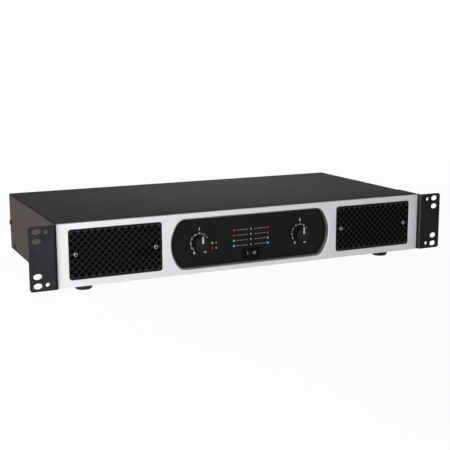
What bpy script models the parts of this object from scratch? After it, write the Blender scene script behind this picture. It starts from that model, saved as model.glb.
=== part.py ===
"""Rack-mount two-channel power amplifier, built as separate pieces.

Metres, +Z up, front towards -Y. The origin lies under the middle of the body, on the plane of the feet.
"""
import math

import bmesh
import bpy
from mathutils import Matrix

# Fits
GAP = 0.0003                    # air between pieces that touch
RUNNING = 0.0004                # air round a piece that moves
SCREW_EASE = 0.0003             # hole radius less screw radius
SEAT_GAP = 0.0001               # air under a screw head

# Case
CASE_WIDTH = 0.4260
CASE_HEIGHT = 0.0650
CASE_DEPTH = 0.2070
SHEET = 0.0012
BEND = 0.0020
FLANGE = 0.0120
RELIEF = 0.0040
TRAY_LIP = 0.0100

# Front panel
PANEL_THICKNESS = 0.0050
PANEL_INSET = 0.0008            # panel end, in from the case side
PANEL_DROP = 0.0012             # panel's top, below the case top
PANEL_EDGE = 0.0020
WINDOW_CORNER = 0.0020
CONTROL_WINDOW_WIDTH = 0.1876
CONTROL_WINDOW_BULGE = 0.0147
CONTROL_WINDOW_MARGIN = 0.0062
CONTROL_WINDOW_FILLET = 0.0080
GRILLE_WINDOW_MARGIN = 0.0071
WINDOW_STRIP = 0.0096           # panel between the centre window and a grille window
OUTER_STRIP = 0.0110            # panel outside a grille window

# Grilles and filters
GRILLE_PITCH = 0.0070
GRILLE_BAR = 0.0008
GRILLE_SHEET = 0.0012
GRILLE_SETBACK = 0.0010
GRILLE_MARGIN = 0.0005
VENT_MARGIN = 0.0040            # bulkhead opening, in from the grille pattern's screws

# Rack ears
EAR_REACH = 0.0283
EAR_SHEET = 0.0020
EAR_LEAD = 0.0047               # ear face in front of the panel face
EAR_SHORT = 0.0010              # ear less tall than the case
EAR_BEND = 0.0030
EAR_FLANGE = 0.0450
EAR_CORNER = 0.0025
SLOT_WIDTH = 0.0092
SLOT_HEIGHT = 0.0060
SLOT_INSET = 0.0078            # slot centre, in from the ear's outer edge
SLOT_EDGE = 0.00525              # outer slot centre, in from the ear's end
SLOT_STEP = 0.00945
PILOT_RADIUS = 0.0022
PILOT_INSET = 0.0173
PILOT_EDGE = 0.0060

# Feet
FOOT_HEIGHT = 0.0090
FOOT_RADIUS = 0.0090
FOOT_TAPER = 0.0010
FOOT_SIDE = 0.0330              # foot axis, in from the case side
FOOT_FRONT = 0.0210             # front foot axis, behind the case front
FOOT_REAR = 0.0250              # rear foot axis, ahead of the case rear
FOOT_RECESS = 0.0045

# Controls
PLATE_THICKNESS = 0.0020
PLATE_OVERLAP = 0.0024          # control plate past the window, each end
PLATE_LAP = 0.0028              # control plate past the window, top and bottom
PLATE_CORNER = 0.0030
PLATE_EASE = 0.0005
KNOB_INSET = 0.0338            # knob axis, in from the end of the centre window
CONTROL_DROP = 0.0014
KNOB_HEIGHT = 0.0093
KNOB_RADIUS = 0.0089
KNOB_FACE = 0.0073
KNOB_TAPER = 0.0006
KNOB_BEVEL = 0.0009
KNOB_FLOAT = 0.0005
KNOB_ROOF = 0.0020
SHAFT_RADIUS = 0.0030
BUSHING_RADIUS = 0.0044
BUSHING_REACH = 0.0030          # bushing ahead of the control plate
NUT_SIDES = 6
NUT_FLAT = 0.0056
NUT_THICKNESS = 0.0020
POT_SIZE = 0.0160
LED_RADIUS = 0.00145
LED_PROUD = 0.0011
LED_SHOULDER = 0.7              # lens shoulder, as a share of its radius
LED_DROP = 0.3                  # shoulder behind the tip, as a share of the radius
LED_COLUMN_X = 0.0202
LED_PITCH = 0.00567
MODE_LED_OFFSET = 0.0145        # mode lamps, from the knob axis towards the centre
STANDOFF_LENGTH = 0.0065
STANDOFF_RADIUS = 0.0028
BOARD = 0.0016
CONTROL_BOARD_REACH = 0.0200    # board past a knob's axis
CONTROL_BOARD_TOP = 0.0240

# Power switch
SWITCH_DROP = 0.0176
SWITCH_WIDTH = 0.0190
SWITCH_HEIGHT = 0.0088
SWITCH_WALL = 0.0008
SWITCH_DEPTH = 0.0120
BEZEL_LIP = 0.0010
BEZEL_THICKNESS = 0.0012
ROCKER_TILT = math.radians(9.0)
ROCKER_PIVOT = 0.0032           # pivot behind the bezel face
ROCKER_CROWN = math.radians(24.0)
ROCKER_VALLEY = 0.0026
ROCKER_HEEL = 0.0030
ROCKER_PIN = 0.0009

# Rear connectors
D_WIDTH = 0.0260
D_HEIGHT = 0.0310
D_FLANGE = 0.0022
D_CORNER = 0.0030
D_BARREL = 0.0115
D_DEPTH = 0.0200
INPUT_BORE = 0.0095
INPUT_BORE_DEPTH = 0.0140
LATCH_WIDTH = 0.0084
LATCH_THICKNESS = 0.0030
LATCH_PROUD = 0.0025
LATCH_TRAVEL = 0.0020
LATCH_RISE = 0.0121             # latch above the input's axis
LATCH_LENGTH = 0.0100
OUTPUT_BORE = 0.0100
OUTPUT_POST = 0.0050
OUTPUT_DEPTH = 0.0150
INLET_WIDTH = 0.0480
INLET_HEIGHT = 0.0225
INLET_BODY_WIDTH = 0.0272
INLET_BODY_HEIGHT = 0.0198
INLET_WALL = 0.0013
INLET_DEPTH = 0.0200
INLET_CUT = 0.0040
INLET_FLANGE = 0.0025
PIN_WIDTH = 0.0020
PIN_HEIGHT = 0.0040
PIN_LENGTH = 0.0140
PIN_SPACING = 0.0070
MODE_WIDTH = 0.0140
MODE_HEIGHT = 0.0070
MODE_DEPTH = 0.0060
SLIDER_WIDTH = 0.0030
SLIDER_HEIGHT = 0.0036
SLIDER_PROUD = 0.0025
SLIDER_TRAVEL = 0.0020          # each way from the middle position

# Fans
FAN_SIZE = 0.0500
FAN_DEPTH = 0.0150
FAN_CORNER = 0.0030
FAN_BORE = 0.0236
FAN_HUB = 0.0110
FAN_SPIDER = 0.0025
FAN_STRUT = 0.0024
FAN_TIP_GAP = 0.0008
FAN_SHAFT = 0.0015
FAN_SIDE = 0.0230               # fan frame, in from the case side
BLADES = 5
BLADE_THICKNESS = 0.0010
BLADE_CHORD = 0.0105
BLADE_PITCH_ROOT = math.radians(50.0)
BLADE_PITCH_TIP = math.radians(30.0)

# Inside
HEATSINK_BASE = 0.0055
HEATSINK_FIN = 0.0016
HEATSINK_FINS = 5
HEATSINK_REACH = 0.0360         # fins, each side of the fan axis
HEATSINK_FRONT = 0.0350         # behind the case front
HEATSINK_REAR = 0.0060          # ahead of the fan
HEATSINK_HEADROOM = 0.0100
TRANSISTOR_LENGTH = 0.0160
TRANSISTOR_HEIGHT = 0.0200
TRANSISTOR_THICKNESS = 0.0050
TRANSISTOR_STEP = 0.0400
MAIN_BOARD_LIFT = 0.0060
MAIN_BOARD_FRONT = 0.0250
MAIN_BOARD_REAR = 0.0300
MAIN_STANDOFF_INSET = 0.0060
CORE_SIZE = 0.0420
CORE_THICKNESS = 0.0150
CORE_LEG = 0.0120
CORE_YOKE = 0.0070
WINDING_MARGIN = 0.0010
CAPACITOR_RADIUS = 0.0110
CAPACITOR_HEIGHT = 0.0340
CAPACITOR_STEP = 0.0240
RIBBON_WIDTH = 0.0260
RIBBON_THICKNESS = 0.0010
RIBBON_X = 0.0400
RIBBON_REACH = 0.0220
RIBBON_STEPS = 5

# Screws: shank radius, head radius, head height
SMALL_SCREW = (0.0015, 0.0024, 0.0017)
SHANK_TAIL = 0.0030             # shank past the last sheet
HEAD_CROWN = 0.72               # flat top, as a share of the head radius
HEAD_EDGE = 0.45                # edge, as a share of the head height

# Facets
ROUND = 10
SMALL_ROUND = 8
HIDDEN_ROUND = 6
KNOB_STEPS = 16
BORE_STEPS = 12
CORNER_STEPS = 2
ARC_STEPS = 3
FINE_ARC_STEPS = 8
SMOOTH_ANGLE = math.radians(40.0)

# Distances behind the ear face
PANEL_FACE = EAR_LEAD
PANEL_BACK = PANEL_FACE + PANEL_THICKNESS
CASE_FRONT = PANEL_BACK + GAP
CASE_REAR = CASE_FRONT + CASE_DEPTH
PLATE_BACK = CASE_FRONT + PLATE_THICKNESS
BOARD_FRONT = PLATE_BACK + STANDOFF_LENGTH + 2 * GAP
REAR_REACH = GAP + D_FLANGE + LATCH_PROUD
TOTAL_DEPTH = CASE_REAR + REAR_REACH

# World places
EAR_FACE_Y = -TOTAL_DEPTH / 2
CASE_BOTTOM = FOOT_HEIGHT
CASE_TOP = CASE_BOTTOM + CASE_HEIGHT
CASE_MID = CASE_BOTTOM + CASE_HEIGHT / 2
INNER_WIDTH = CASE_WIDTH - 2 * SHEET - 2 * GAP
FLOOR = CASE_BOTTOM + SHEET
INNER_BOTTOM = FLOOR + GAP
INNER_TOP = CASE_TOP - SHEET - GAP
INNER_HEIGHT = INNER_TOP - INNER_BOTTOM
INNER_MID = (INNER_TOP + INNER_BOTTOM) / 2
PANEL_WIDTH = CASE_WIDTH - 2 * PANEL_INSET
PANEL_HEIGHT = CASE_HEIGHT - PANEL_DROP
GRILLE_WINDOW_INNER = CONTROL_WINDOW_WIDTH / 2 + WINDOW_STRIP
GRILLE_WINDOW_OUTER = PANEL_WIDTH / 2 - OUTER_STRIP
GRILLE_WINDOW_WIDTH = GRILLE_WINDOW_OUTER - GRILLE_WINDOW_INNER
GRILLE_WINDOW_HEIGHT = CASE_HEIGHT - 2 * GRILLE_WINDOW_MARGIN
GRILLE_X = (GRILLE_WINDOW_OUTER + GRILLE_WINDOW_INNER) / 2
GRILLE_WIDTH = GRILLE_WINDOW_WIDTH - 2 * GAP
GRILLE_HEIGHT = GRILLE_WINDOW_HEIGHT - 2 * GAP
HOLE_HALF = (GRILLE_PITCH - GRILLE_BAR * math.sqrt(2)) / 2
HOLE_LIMIT_X = GRILLE_WIDTH / 2 - GRILLE_MARGIN
HOLE_LIMIT_Z = GRILLE_HEIGHT / 2 - GRILLE_MARGIN
GRILLE_COLUMNS = math.floor((HOLE_LIMIT_X - HOLE_HALF) / GRILLE_PITCH)
GRILLE_ROWS = math.floor((HOLE_LIMIT_Z - HOLE_HALF) / (GRILLE_PITCH / 2))
GRILLE_SCREW_X = GRILLE_COLUMNS * GRILLE_PITCH
GRILLE_FRONT = PANEL_FACE + GRILLE_SETBACK
GRILLE_BACK = GRILLE_FRONT + GRILLE_SHEET
CONTROL_WINDOW_HEIGHT = PANEL_HEIGHT - 2 * CONTROL_WINDOW_MARGIN
KNOB_X = CONTROL_WINDOW_WIDTH / 2 - KNOB_INSET
CONTROL_BOARD_WIDTH = 2 * (KNOB_X + CONTROL_BOARD_REACH)
PLATE_WIDTH = CONTROL_WINDOW_WIDTH + 2 * PLATE_OVERLAP
PLATE_HEIGHT = CONTROL_WINDOW_HEIGHT + 2 * PLATE_LAP
CONTROL_Z = CASE_MID - CONTROL_DROP
FAN_X = CASE_WIDTH / 2 - FAN_SIDE - FAN_SIZE / 2
FAN_BACK = CASE_REAR - SHEET - GAP
FAN_FRONT = FAN_BACK - FAN_DEPTH
EAR_INNER = CASE_WIDTH / 2 + GAP
EAR_OUTER = CASE_WIDTH / 2 + EAR_REACH
EAR_HEIGHT = CASE_HEIGHT - EAR_SHORT
MAIN_BOARD_BOTTOM = FLOOR + MAIN_BOARD_LIFT
MAIN_BOARD_TOP = MAIN_BOARD_BOTTOM + BOARD
HEATSINK_INNER = FAN_X - HEATSINK_REACH - HEATSINK_BASE
TRANSISTOR_X = HEATSINK_INNER - 2 * GAP - TRANSISTOR_THICKNESS / 2
MAIN_BOARD_WIDTH = 2 * (HEATSINK_INNER - GAP)
MAIN_BOARD_LENGTH = CASE_DEPTH - MAIN_BOARD_FRONT - MAIN_BOARD_REAR
MAIN_BOARD_MIDDLE = CASE_FRONT + MAIN_BOARD_FRONT + MAIN_BOARD_LENGTH / 2
FOOT_X = CASE_WIDTH / 2 - FOOT_SIDE

FRONT_FACING = Matrix.Rotation(math.radians(90), 4, "X")
REAR_FACING = Matrix.Rotation(math.radians(180), 4, "Z") @ FRONT_FACING
DOWN_FACING = Matrix.Rotation(math.radians(180), 4, "X")
UPRIGHT = Matrix.Identity(4)
SIDES = (("left", -1), ("right", 1))


def back(distance):
    """World Y of a plane that far behind the ear face."""
    return EAR_FACE_Y + distance


def place(x, distance, z):
    return Matrix.Translation((x, back(distance), z))


# Scene and materials

for old in list(bpy.data.objects):
    bpy.data.objects.remove(old, do_unlink=True)

parts = bpy.data.collections.new("power_amplifier")
cutters = bpy.data.collections.new("cutters")
bpy.context.scene.collection.children.link(parts)
bpy.context.scene.collection.children.link(cutters)
assembly = bpy.data.objects.new("assembly", None)
parts.objects.link(assembly)


def finish(name, colour, roughness, metallic):
    material = bpy.data.materials.new(name)
    material.use_nodes = True
    shader = material.node_tree.nodes["Principled BSDF"]
    shader.inputs["Base Color"].default_value = (*colour, 1.0)
    shader.inputs["Roughness"].default_value = roughness
    shader.inputs["Metallic"].default_value = metallic
    return material


SILVER = finish("satin_silver", (0.68, 0.68, 0.70), 0.35, 0.9)
BLACK_STEEL = finish("black_painted_steel", (0.025, 0.025, 0.028), 0.5, 0.0)
CASE_PAINT = finish("charcoal_case_paint", (0.05, 0.048, 0.047), 0.6, 0.0)
BARE_STEEL = finish("zinc_plated_steel", (0.55, 0.56, 0.57), 0.4, 0.9)
BLACK_PLASTIC = finish("black_plastic", (0.02, 0.02, 0.022), 0.45, 0.0)
RUBBER = finish("black_rubber", (0.015, 0.015, 0.015), 0.85, 0.0)
FOAM = finish("black_filter_foam", (0.012, 0.012, 0.012), 0.95, 0.0)
BRIGHT_SCREW = finish("bright_screw", (0.7, 0.68, 0.64), 0.3, 1.0)
BOARD_GREEN = finish("board_green", (0.03, 0.12, 0.06), 0.5, 0.0)
ALUMINIUM = finish("heat_sink_aluminium", (0.6, 0.6, 0.62), 0.45, 0.9)
FERRITE = finish("ferrite", (0.06, 0.06, 0.065), 0.7, 0.0)
COPPER_TAPE = finish("winding_tape", (0.55, 0.42, 0.08), 0.5, 0.0)
CAN_SLEEVE = finish("capacitor_sleeve", (0.03, 0.04, 0.09), 0.35, 0.0)
CABLE_GREY = finish("ribbon_grey", (0.35, 0.35, 0.37), 0.6, 0.0)
RED_LENS = finish("red_lens", (0.35, 0.02, 0.02), 0.2, 0.0)
GREEN_LENS = finish("green_lens", (0.1, 0.8, 0.25), 0.2, 0.0)
BLUE_LENS = finish("blue_lens", (0.2, 0.45, 0.95), 0.2, 0.0)
LIME_LENS = finish("lime_lens", (0.6, 0.8, 0.1), 0.2, 0.0)


def add_part(name, mesh, material, matrix=UPRIGHT, smooth=False):
    """One named sub-part, its origin placed by the matrix."""
    part = bpy.data.objects.new(name, mesh)
    parts.objects.link(part)
    part.parent = assembly
    part.matrix_world = matrix
    mesh.name = name
    mesh.materials.clear()
    mesh.materials.append(material)
    if smooth:
        mesh.shade_smooth()
        mesh.set_sharp_from_angle(angle=SMOOTH_ANGLE)
    return part


def cut(part, name, placed):
    """Subtract the placed meshes from the part."""
    tool = bpy.data.objects.new(name, merged(name, placed))
    cutters.objects.link(tool)
    tool.hide_render = True
    tool.display_type = "WIRE"
    step = part.modifiers.new(name, "BOOLEAN")
    step.operation = "DIFFERENCE"
    step.solver = "EXACT"
    step.object = tool


def fuse(name, placed):
    """Boolean union of the placed meshes, as one mesh in the frame that they share."""
    first, matrix = placed[0]
    body = bpy.data.objects.new(name, merged(name, [(first, matrix)]))
    bpy.context.scene.collection.objects.link(body)
    tools = []
    for mesh, spot in placed[1:]:
        tool = bpy.data.objects.new(name + "_tool", merged(name, [(mesh, spot)]))
        bpy.context.scene.collection.objects.link(tool)
        step = body.modifiers.new("join", "BOOLEAN")
        step.operation = "UNION"
        step.solver = "EXACT"
        step.object = tool
        tools.append(tool)
    fused = evaluated(body)
    for tool in tools:
        bpy.data.objects.remove(tool)
    bpy.data.objects.remove(body)
    return fused


def carve(name, mesh, tool_mesh):
    """The mesh less the tool, both in one frame, as a new mesh."""
    body = bpy.data.objects.new(name, mesh)
    tool = bpy.data.objects.new(name + "_tool", tool_mesh)
    for item in (body, tool):
        bpy.context.scene.collection.objects.link(item)
    step = body.modifiers.new("carve", "BOOLEAN")
    step.operation = "DIFFERENCE"
    step.solver = "EXACT"
    step.object = tool
    carved = evaluated(body)
    for item in (body, tool):
        bpy.data.objects.remove(item)
    return carved


# Shapes

def evaluated(item):
    """The item's mesh with its modifiers, welded and facing out."""
    graph = bpy.context.evaluated_depsgraph_get()
    mesh = bpy.data.meshes.new_from_object(item.evaluated_get(graph))
    work = bmesh.new()
    work.from_mesh(mesh)
    bmesh.ops.remove_doubles(work, verts=work.verts, dist=1e-6)
    bmesh.ops.recalc_face_normals(work, faces=work.faces)
    work.to_mesh(mesh)
    work.free()
    return mesh


def merged(name, placed):
    """Several meshes as separate solids of one mesh."""
    work = bmesh.new()
    for mesh, matrix in placed:
        copy = mesh.copy()
        copy.transform(matrix)
        work.from_mesh(copy)
        bpy.data.meshes.remove(copy)
    joined = bpy.data.meshes.new(name)
    work.to_mesh(joined)
    work.free()
    return joined


def box(width, depth, height):
    work = bmesh.new()
    bmesh.ops.create_cube(work, size=1.0, matrix=Matrix.Diagonal((width, depth, height, 1.0)))
    mesh = bpy.data.meshes.new("box")
    work.to_mesh(mesh)
    work.free()
    return mesh


def rod(radius, length, sides=SMALL_ROUND):
    """A cylinder along Z, centred."""
    work = bmesh.new()
    bmesh.ops.create_cone(work, cap_ends=True, segments=sides, radius1=radius, radius2=radius, depth=length)
    mesh = bpy.data.meshes.new("rod")
    work.to_mesh(mesh)
    work.free()
    return mesh


def turned(profile, steps):
    """A profile of (radius, height) points, top to bottom, spun round Z."""
    mesh = bpy.data.meshes.new("profile")
    edges = [(index, index + 1) for index in range(len(profile) - 1)]
    mesh.from_pydata([(radius, 0.0, height) for radius, height in profile], edges, [])
    spun = bpy.data.objects.new("spun", mesh)
    bpy.context.scene.collection.objects.link(spun)
    screw = spun.modifiers.new("spin", "SCREW")
    screw.axis = "Z"
    screw.steps = steps
    screw.render_steps = steps
    screw.use_merge_vertices = True
    screw.merge_threshold = 0.00001
    solid = evaluated(spun)
    bpy.data.objects.remove(spun)
    return solid


def plate(loops, thickness):
    """A flat outline with holes, centred on its thickness along Z."""
    curve = bpy.data.curves.new("outline", "CURVE")
    curve.dimensions = "2D"
    curve.fill_mode = "BOTH"
    curve.extrude = thickness / 2
    for loop in loops:
        spline = curve.splines.new("POLY")
        spline.points.add(len(loop) - 1)
        for point, (x, y) in zip(spline.points, loop):
            point.co = (x, y, 0.0, 1.0)
        spline.use_cyclic_u = True
    drawn = bpy.data.objects.new("outline", curve)
    bpy.context.scene.collection.objects.link(drawn)
    solid = evaluated(drawn)
    bpy.data.objects.remove(drawn)
    return solid


def round_front(mesh, radius, segments):
    """Round the edges of a plate's front face, the one at the greatest Z."""
    work = bmesh.new()
    work.from_mesh(mesh)
    front = max(vert.co.z for vert in work.verts)
    sharp = math.radians(45)
    rim = []
    for edge in work.edges:
        at_front = all(abs(vert.co.z - front) < GAP / 10 for vert in edge.verts)
        if at_front and edge.calc_face_angle() > sharp:
            rim.append(edge)
    bmesh.ops.bevel(
        work, geom=rim, offset=radius, offset_type="OFFSET", segments=segments, profile=0.5,
        affect="EDGES", loop_slide=False)
    work.to_mesh(mesh)
    work.free()
    return mesh


def arc(x, y, radius, start, end, steps):
    points = []
    for step in range(steps + 1):
        angle = math.radians(start + (end - start) * step / steps)
        points.append((x + radius * math.cos(angle), y + radius * math.sin(angle)))
    return points


def circle(x, y, radius, sides):
    return arc(x, y, radius, 0, 360, sides)[:-1]


def round_hole(x, y, radius, sides):
    """A polygon that clears a round piece of the given radius."""
    return circle(x, y, radius / math.cos(math.pi / sides), sides)


def bore(radius, length, sides=SMALL_ROUND):
    """A cutter that clears a round piece of the given radius."""
    return rod(radius / math.cos(math.pi / sides), length, sides)


def rectangle(x, y, width, height):
    right = width / 2
    top = height / 2
    return [(x - right, y - top), (x + right, y - top), (x + right, y + top), (x - right, y + top)]


def rounded_rectangle(x, y, width, height, radius, steps=ARC_STEPS):
    loop = []
    for turn, (side, end) in enumerate(((1, 1), (-1, 1), (-1, -1), (1, -1))):
        corner_x = x + side * (width / 2 - radius)
        corner_y = y + end * (height / 2 - radius)
        loop += arc(corner_x, corner_y, radius, 90 * turn, 90 * turn + 90, steps)
    return loop


def oval(x, y, width, height, steps=ARC_STEPS):
    """A slot with round ends, longer along X."""
    reach = (width - height) / 2
    right = arc(x + reach, y, height / 2, -90, 90, steps)
    return right + arc(x - reach, y, height / 2, 90, 270, steps)


def bulged_rectangle(y, width, height, bulge, fillet, steps):
    """A rectangle whose two ends are arcs standing out by the bulge, with fillets at its corners."""
    half = height / 2
    radius = (half * half + bulge * bulge) / (2 * bulge)
    centre = width / 2 - radius
    rise = half - fillet
    reach = math.sqrt((radius - fillet) ** 2 - rise * rise)
    turn = math.degrees(math.atan2(rise, reach))
    loop = []
    for sign, start in ((1, 0), (-1, 180)):
        x = sign * (centre + reach)
        loop += arc(x, y - sign * rise, fillet, start - 90, start - turn, CORNER_STEPS)
        loop += arc(sign * centre, y, radius, start - turn, start + turn, steps)[1:-1]
        loop += arc(x, y + sign * rise, fillet, start + turn, start + 90, CORNER_STEPS)
    return loop


def folded_sheet(width, length, flanges, bend, thickness, corner=0.0, steps=CORNER_STEPS):
    """A sheet at Z = 0 with its outer face down. Each side named in flanges is folded up to its height."""
    work = bmesh.new()
    lines_x = (-width / 2, RELIEF - width / 2, width / 2 - RELIEF, width / 2)
    lines_y = (-length / 2, RELIEF - length / 2, length / 2 - RELIEF, length / 2)
    cells = len(lines_x) - 1
    bmesh.ops.create_grid(work, x_segments=cells, y_segments=cells, size=0.5)
    for vert in work.verts:
        vert.co.x = lines_x[round((vert.co.x + 0.5) * cells)]
        vert.co.y = lines_y[round((vert.co.y + 0.5) * cells)]
    borders = {
        "left": (0, -width / 2), "right": (0, width / 2), "front": (1, -length / 2), "back": (1, length / 2)}

    def on_border(vert, side):
        axis, value = borders[side]
        return abs(vert.co[axis] - value) < GAP / 10 and vert.co.z < GAP / 10

    corners = []
    for face in work.faces:
        touching = [side for side in flanges if any(on_border(vert, side) for vert in face.verts)]
        if len(touching) == 2 and len(face.verts) == 4:
            corners.append(face)
    bmesh.ops.delete(work, geom=corners, context="FACES")
    if corner:
        outer = [vert for vert in work.verts if len(vert.link_edges) == 2]
        free = [vert for vert in outer if not any(on_border(vert, side) for side in flanges)]
        bmesh.ops.bevel(
            work, geom=free, offset=corner, offset_type="OFFSET", segments=ARC_STEPS, profile=0.5,
            affect="VERTICES")
    folds = []
    for side, height in flanges.items():
        border = [edge for edge in work.edges if all(on_border(vert, side) for vert in edge.verts)]
        folds += border
        raised = bmesh.ops.extrude_edge_only(work, edges=border)["geom"]
        lifted = [item for item in raised if isinstance(item, bmesh.types.BMVert)]
        bmesh.ops.translate(work, verts=lifted, vec=(0.0, 0.0, height))
    bmesh.ops.bevel(
        work, geom=folds, offset=bend, offset_type="OFFSET", segments=steps, profile=0.5, affect="EDGES")
    bmesh.ops.recalc_face_normals(work, faces=work.faces)
    base = max(work.faces, key=lambda face: abs(face.normal.z) * face.calc_area())
    if base.normal.z < 0:
        bmesh.ops.reverse_faces(work, faces=work.faces)
    sheet = bpy.data.meshes.new("sheet")
    work.to_mesh(sheet)
    work.free()
    folded = bpy.data.objects.new("sheet", sheet)
    bpy.context.scene.collection.objects.link(folded)
    thicken = folded.modifiers.new("thicken", "SOLIDIFY")
    thicken.thickness = thickness
    thicken.offset = 1.0
    thicken.use_even_offset = True
    solid = evaluated(folded)
    bpy.data.objects.remove(folded)
    return solid


def screw(kind, length):
    """A screw along Z: the head stands above Z = 0, the shank hangs below."""
    shank, head, height = kind
    profile = [
        (0.0, height), (head * HEAD_CROWN, height), (head, height * HEAD_EDGE), (head, 0.0), (shank, 0.0),
        (shank, -length), (0.0, -length)]
    return turned(profile, SMALL_ROUND)


def screw_hole(kind, length):
    return bore(kind[0] + SCREW_EASE, length, HIDDEN_ROUND)


# Case

def foot_spots():
    rows = (("front", CASE_FRONT + FOOT_FRONT), ("rear", CASE_REAR - FOOT_REAR))
    return [(f"foot_{row}_{side}", sign * FOOT_X, y) for row, y in rows for side, sign in SIDES]


def grille_screw_spots():
    """The seat under each grille screw's head, by name."""
    spots = {}
    for side, sign in SIDES:
        for place_name, end in (("inner", -1), ("outer", 1)):
            x = sign * (GRILLE_X + end * GRILLE_SCREW_X)
            seat = place(x, GRILLE_FRONT - SEAT_GAP, CASE_MID)
            spots[f"{side}_grille_screw_{place_name}"] = seat @ FRONT_FACING
    return spots


def build_case():
    lip_length = CASE_DEPTH - 2 * FLANGE - 2 * RELIEF
    tray_base = folded_sheet(INNER_WIDTH, lip_length, {"left": TRAY_LIP, "right": TRAY_LIP}, BEND, SHEET)
    end = box(INNER_WIDTH, FLANGE + RELIEF + GAP, SHEET)
    end_y = (lip_length + FLANGE + RELIEF - GAP) / 2
    lift = SHEET / 2
    tray_mesh = fuse("chassis_tray", [
        (tray_base, UPRIGHT),
        (end, Matrix.Translation((0.0, -end_y, lift))),
        (end, Matrix.Translation((0.0, end_y, lift)))])
    middle = CASE_FRONT + CASE_DEPTH / 2
    tray = add_part("chassis_tray", tray_mesh, BARE_STEEL, place(0.0, middle, CASE_BOTTOM))
    cuts = [(screw_hole(SMALL_SCREW, FLANGE), place(x, y, CASE_BOTTOM)) for name, x, y in foot_spots()]
    cut(tray, "tray_foot_holes", cuts)

    side = CASE_HEIGHT - GAP
    sides = {"left": side, "right": side}
    cover_mesh = folded_sheet(CASE_WIDTH, CASE_DEPTH, sides, BEND, SHEET, steps=ARC_STEPS)
    add_part("top_cover", cover_mesh, CASE_PAINT, place(0.0, middle, CASE_TOP) @ DOWN_FACING, True)

    four = {"left": FLANGE, "right": FLANGE, "front": FLANGE, "back": FLANGE}
    wall = folded_sheet(INNER_WIDTH, INNER_HEIGHT, four, BEND, SHEET)
    bulkhead = add_part("front_bulkhead", wall, BARE_STEEL, place(0.0, CASE_FRONT, INNER_MID) @ REAR_FACING)
    vent_width = 2 * (GRILLE_SCREW_X - VENT_MARGIN)
    vent_height = GRILLE_HEIGHT - 2 * VENT_MARGIN
    cuts = []
    for name, sign in SIDES:
        loop = rounded_rectangle(0.0, 0.0, vent_width, vent_height, WINDOW_CORNER, CORNER_STEPS)
        cuts.append((plate([loop], FLANGE), place(sign * GRILLE_X, CASE_FRONT, CASE_MID) @ FRONT_FACING))
    opening = box(PLATE_WIDTH + 2 * PLATE_EASE, FLANGE, PLATE_HEIGHT + 2 * PLATE_EASE)
    cuts.append((opening, place(0.0, CASE_FRONT, CASE_MID)))
    cuts += [(screw_hole(SMALL_SCREW, FLANGE * 2), spot) for spot in grille_screw_spots().values()]
    cut(bulkhead, "bulkhead_openings", cuts)


def build_front_panel():
    loops = [rectangle(0.0, -PANEL_DROP / 2, PANEL_WIDTH, PANEL_HEIGHT)]
    loops.append(bulged_rectangle(
        -PANEL_DROP / 2, CONTROL_WINDOW_WIDTH, CONTROL_WINDOW_HEIGHT,
        CONTROL_WINDOW_BULGE, CONTROL_WINDOW_FILLET, FINE_ARC_STEPS))
    for side, sign in SIDES:
        loops.append(rounded_rectangle(
            sign * GRILLE_X, 0.0, GRILLE_WINDOW_WIDTH, GRILLE_WINDOW_HEIGHT, WINDOW_CORNER))
    mesh = round_front(plate(loops, PANEL_THICKNESS), PANEL_EDGE, CORNER_STEPS)
    spot = place(0.0, PANEL_FACE + PANEL_THICKNESS / 2, CASE_MID) @ FRONT_FACING
    add_part("front_panel", mesh, SILVER, spot, True)


# Grilles

def diamond(x, z):
    """A square hole standing on its corner, trimmed at the edge of the pattern."""
    half = HOLE_HALF
    side = 1 if x > 0 else -1
    over = abs(x) + half - HOLE_LIMIT_X
    if over <= 0:
        return [(x - half, z), (x, z - half), (x + half, z), (x, z + half)]
    trim = side * HOLE_LIMIT_X
    return [(x - side * half, z), (x, z - half), (trim, z - over), (trim, z + over), (x, z + half)]


def grille_holes():
    """Rows half a pitch apart, every other row shifted by half a pitch. The middle row's ends take screws."""
    holes = []
    for row in range(-GRILLE_ROWS, GRILLE_ROWS + 1):
        shifted = row % 2 == 1
        first = -GRILLE_COLUMNS - 1 if shifted else -GRILLE_COLUMNS
        for column in range(first, GRILLE_COLUMNS + 1):
            x = (column + 0.5) * GRILLE_PITCH if shifted else column * GRILLE_PITCH
            z = row * GRILLE_PITCH / 2
            if abs(x) > HOLE_LIMIT_X:
                continue
            if row == 0 and abs(column) == GRILLE_COLUMNS:
                holes.append(round_hole(x, z, SMALL_SCREW[0] + SCREW_EASE, SMALL_ROUND))
            else:
                holes.append(diamond(x, z))
    return holes


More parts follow.
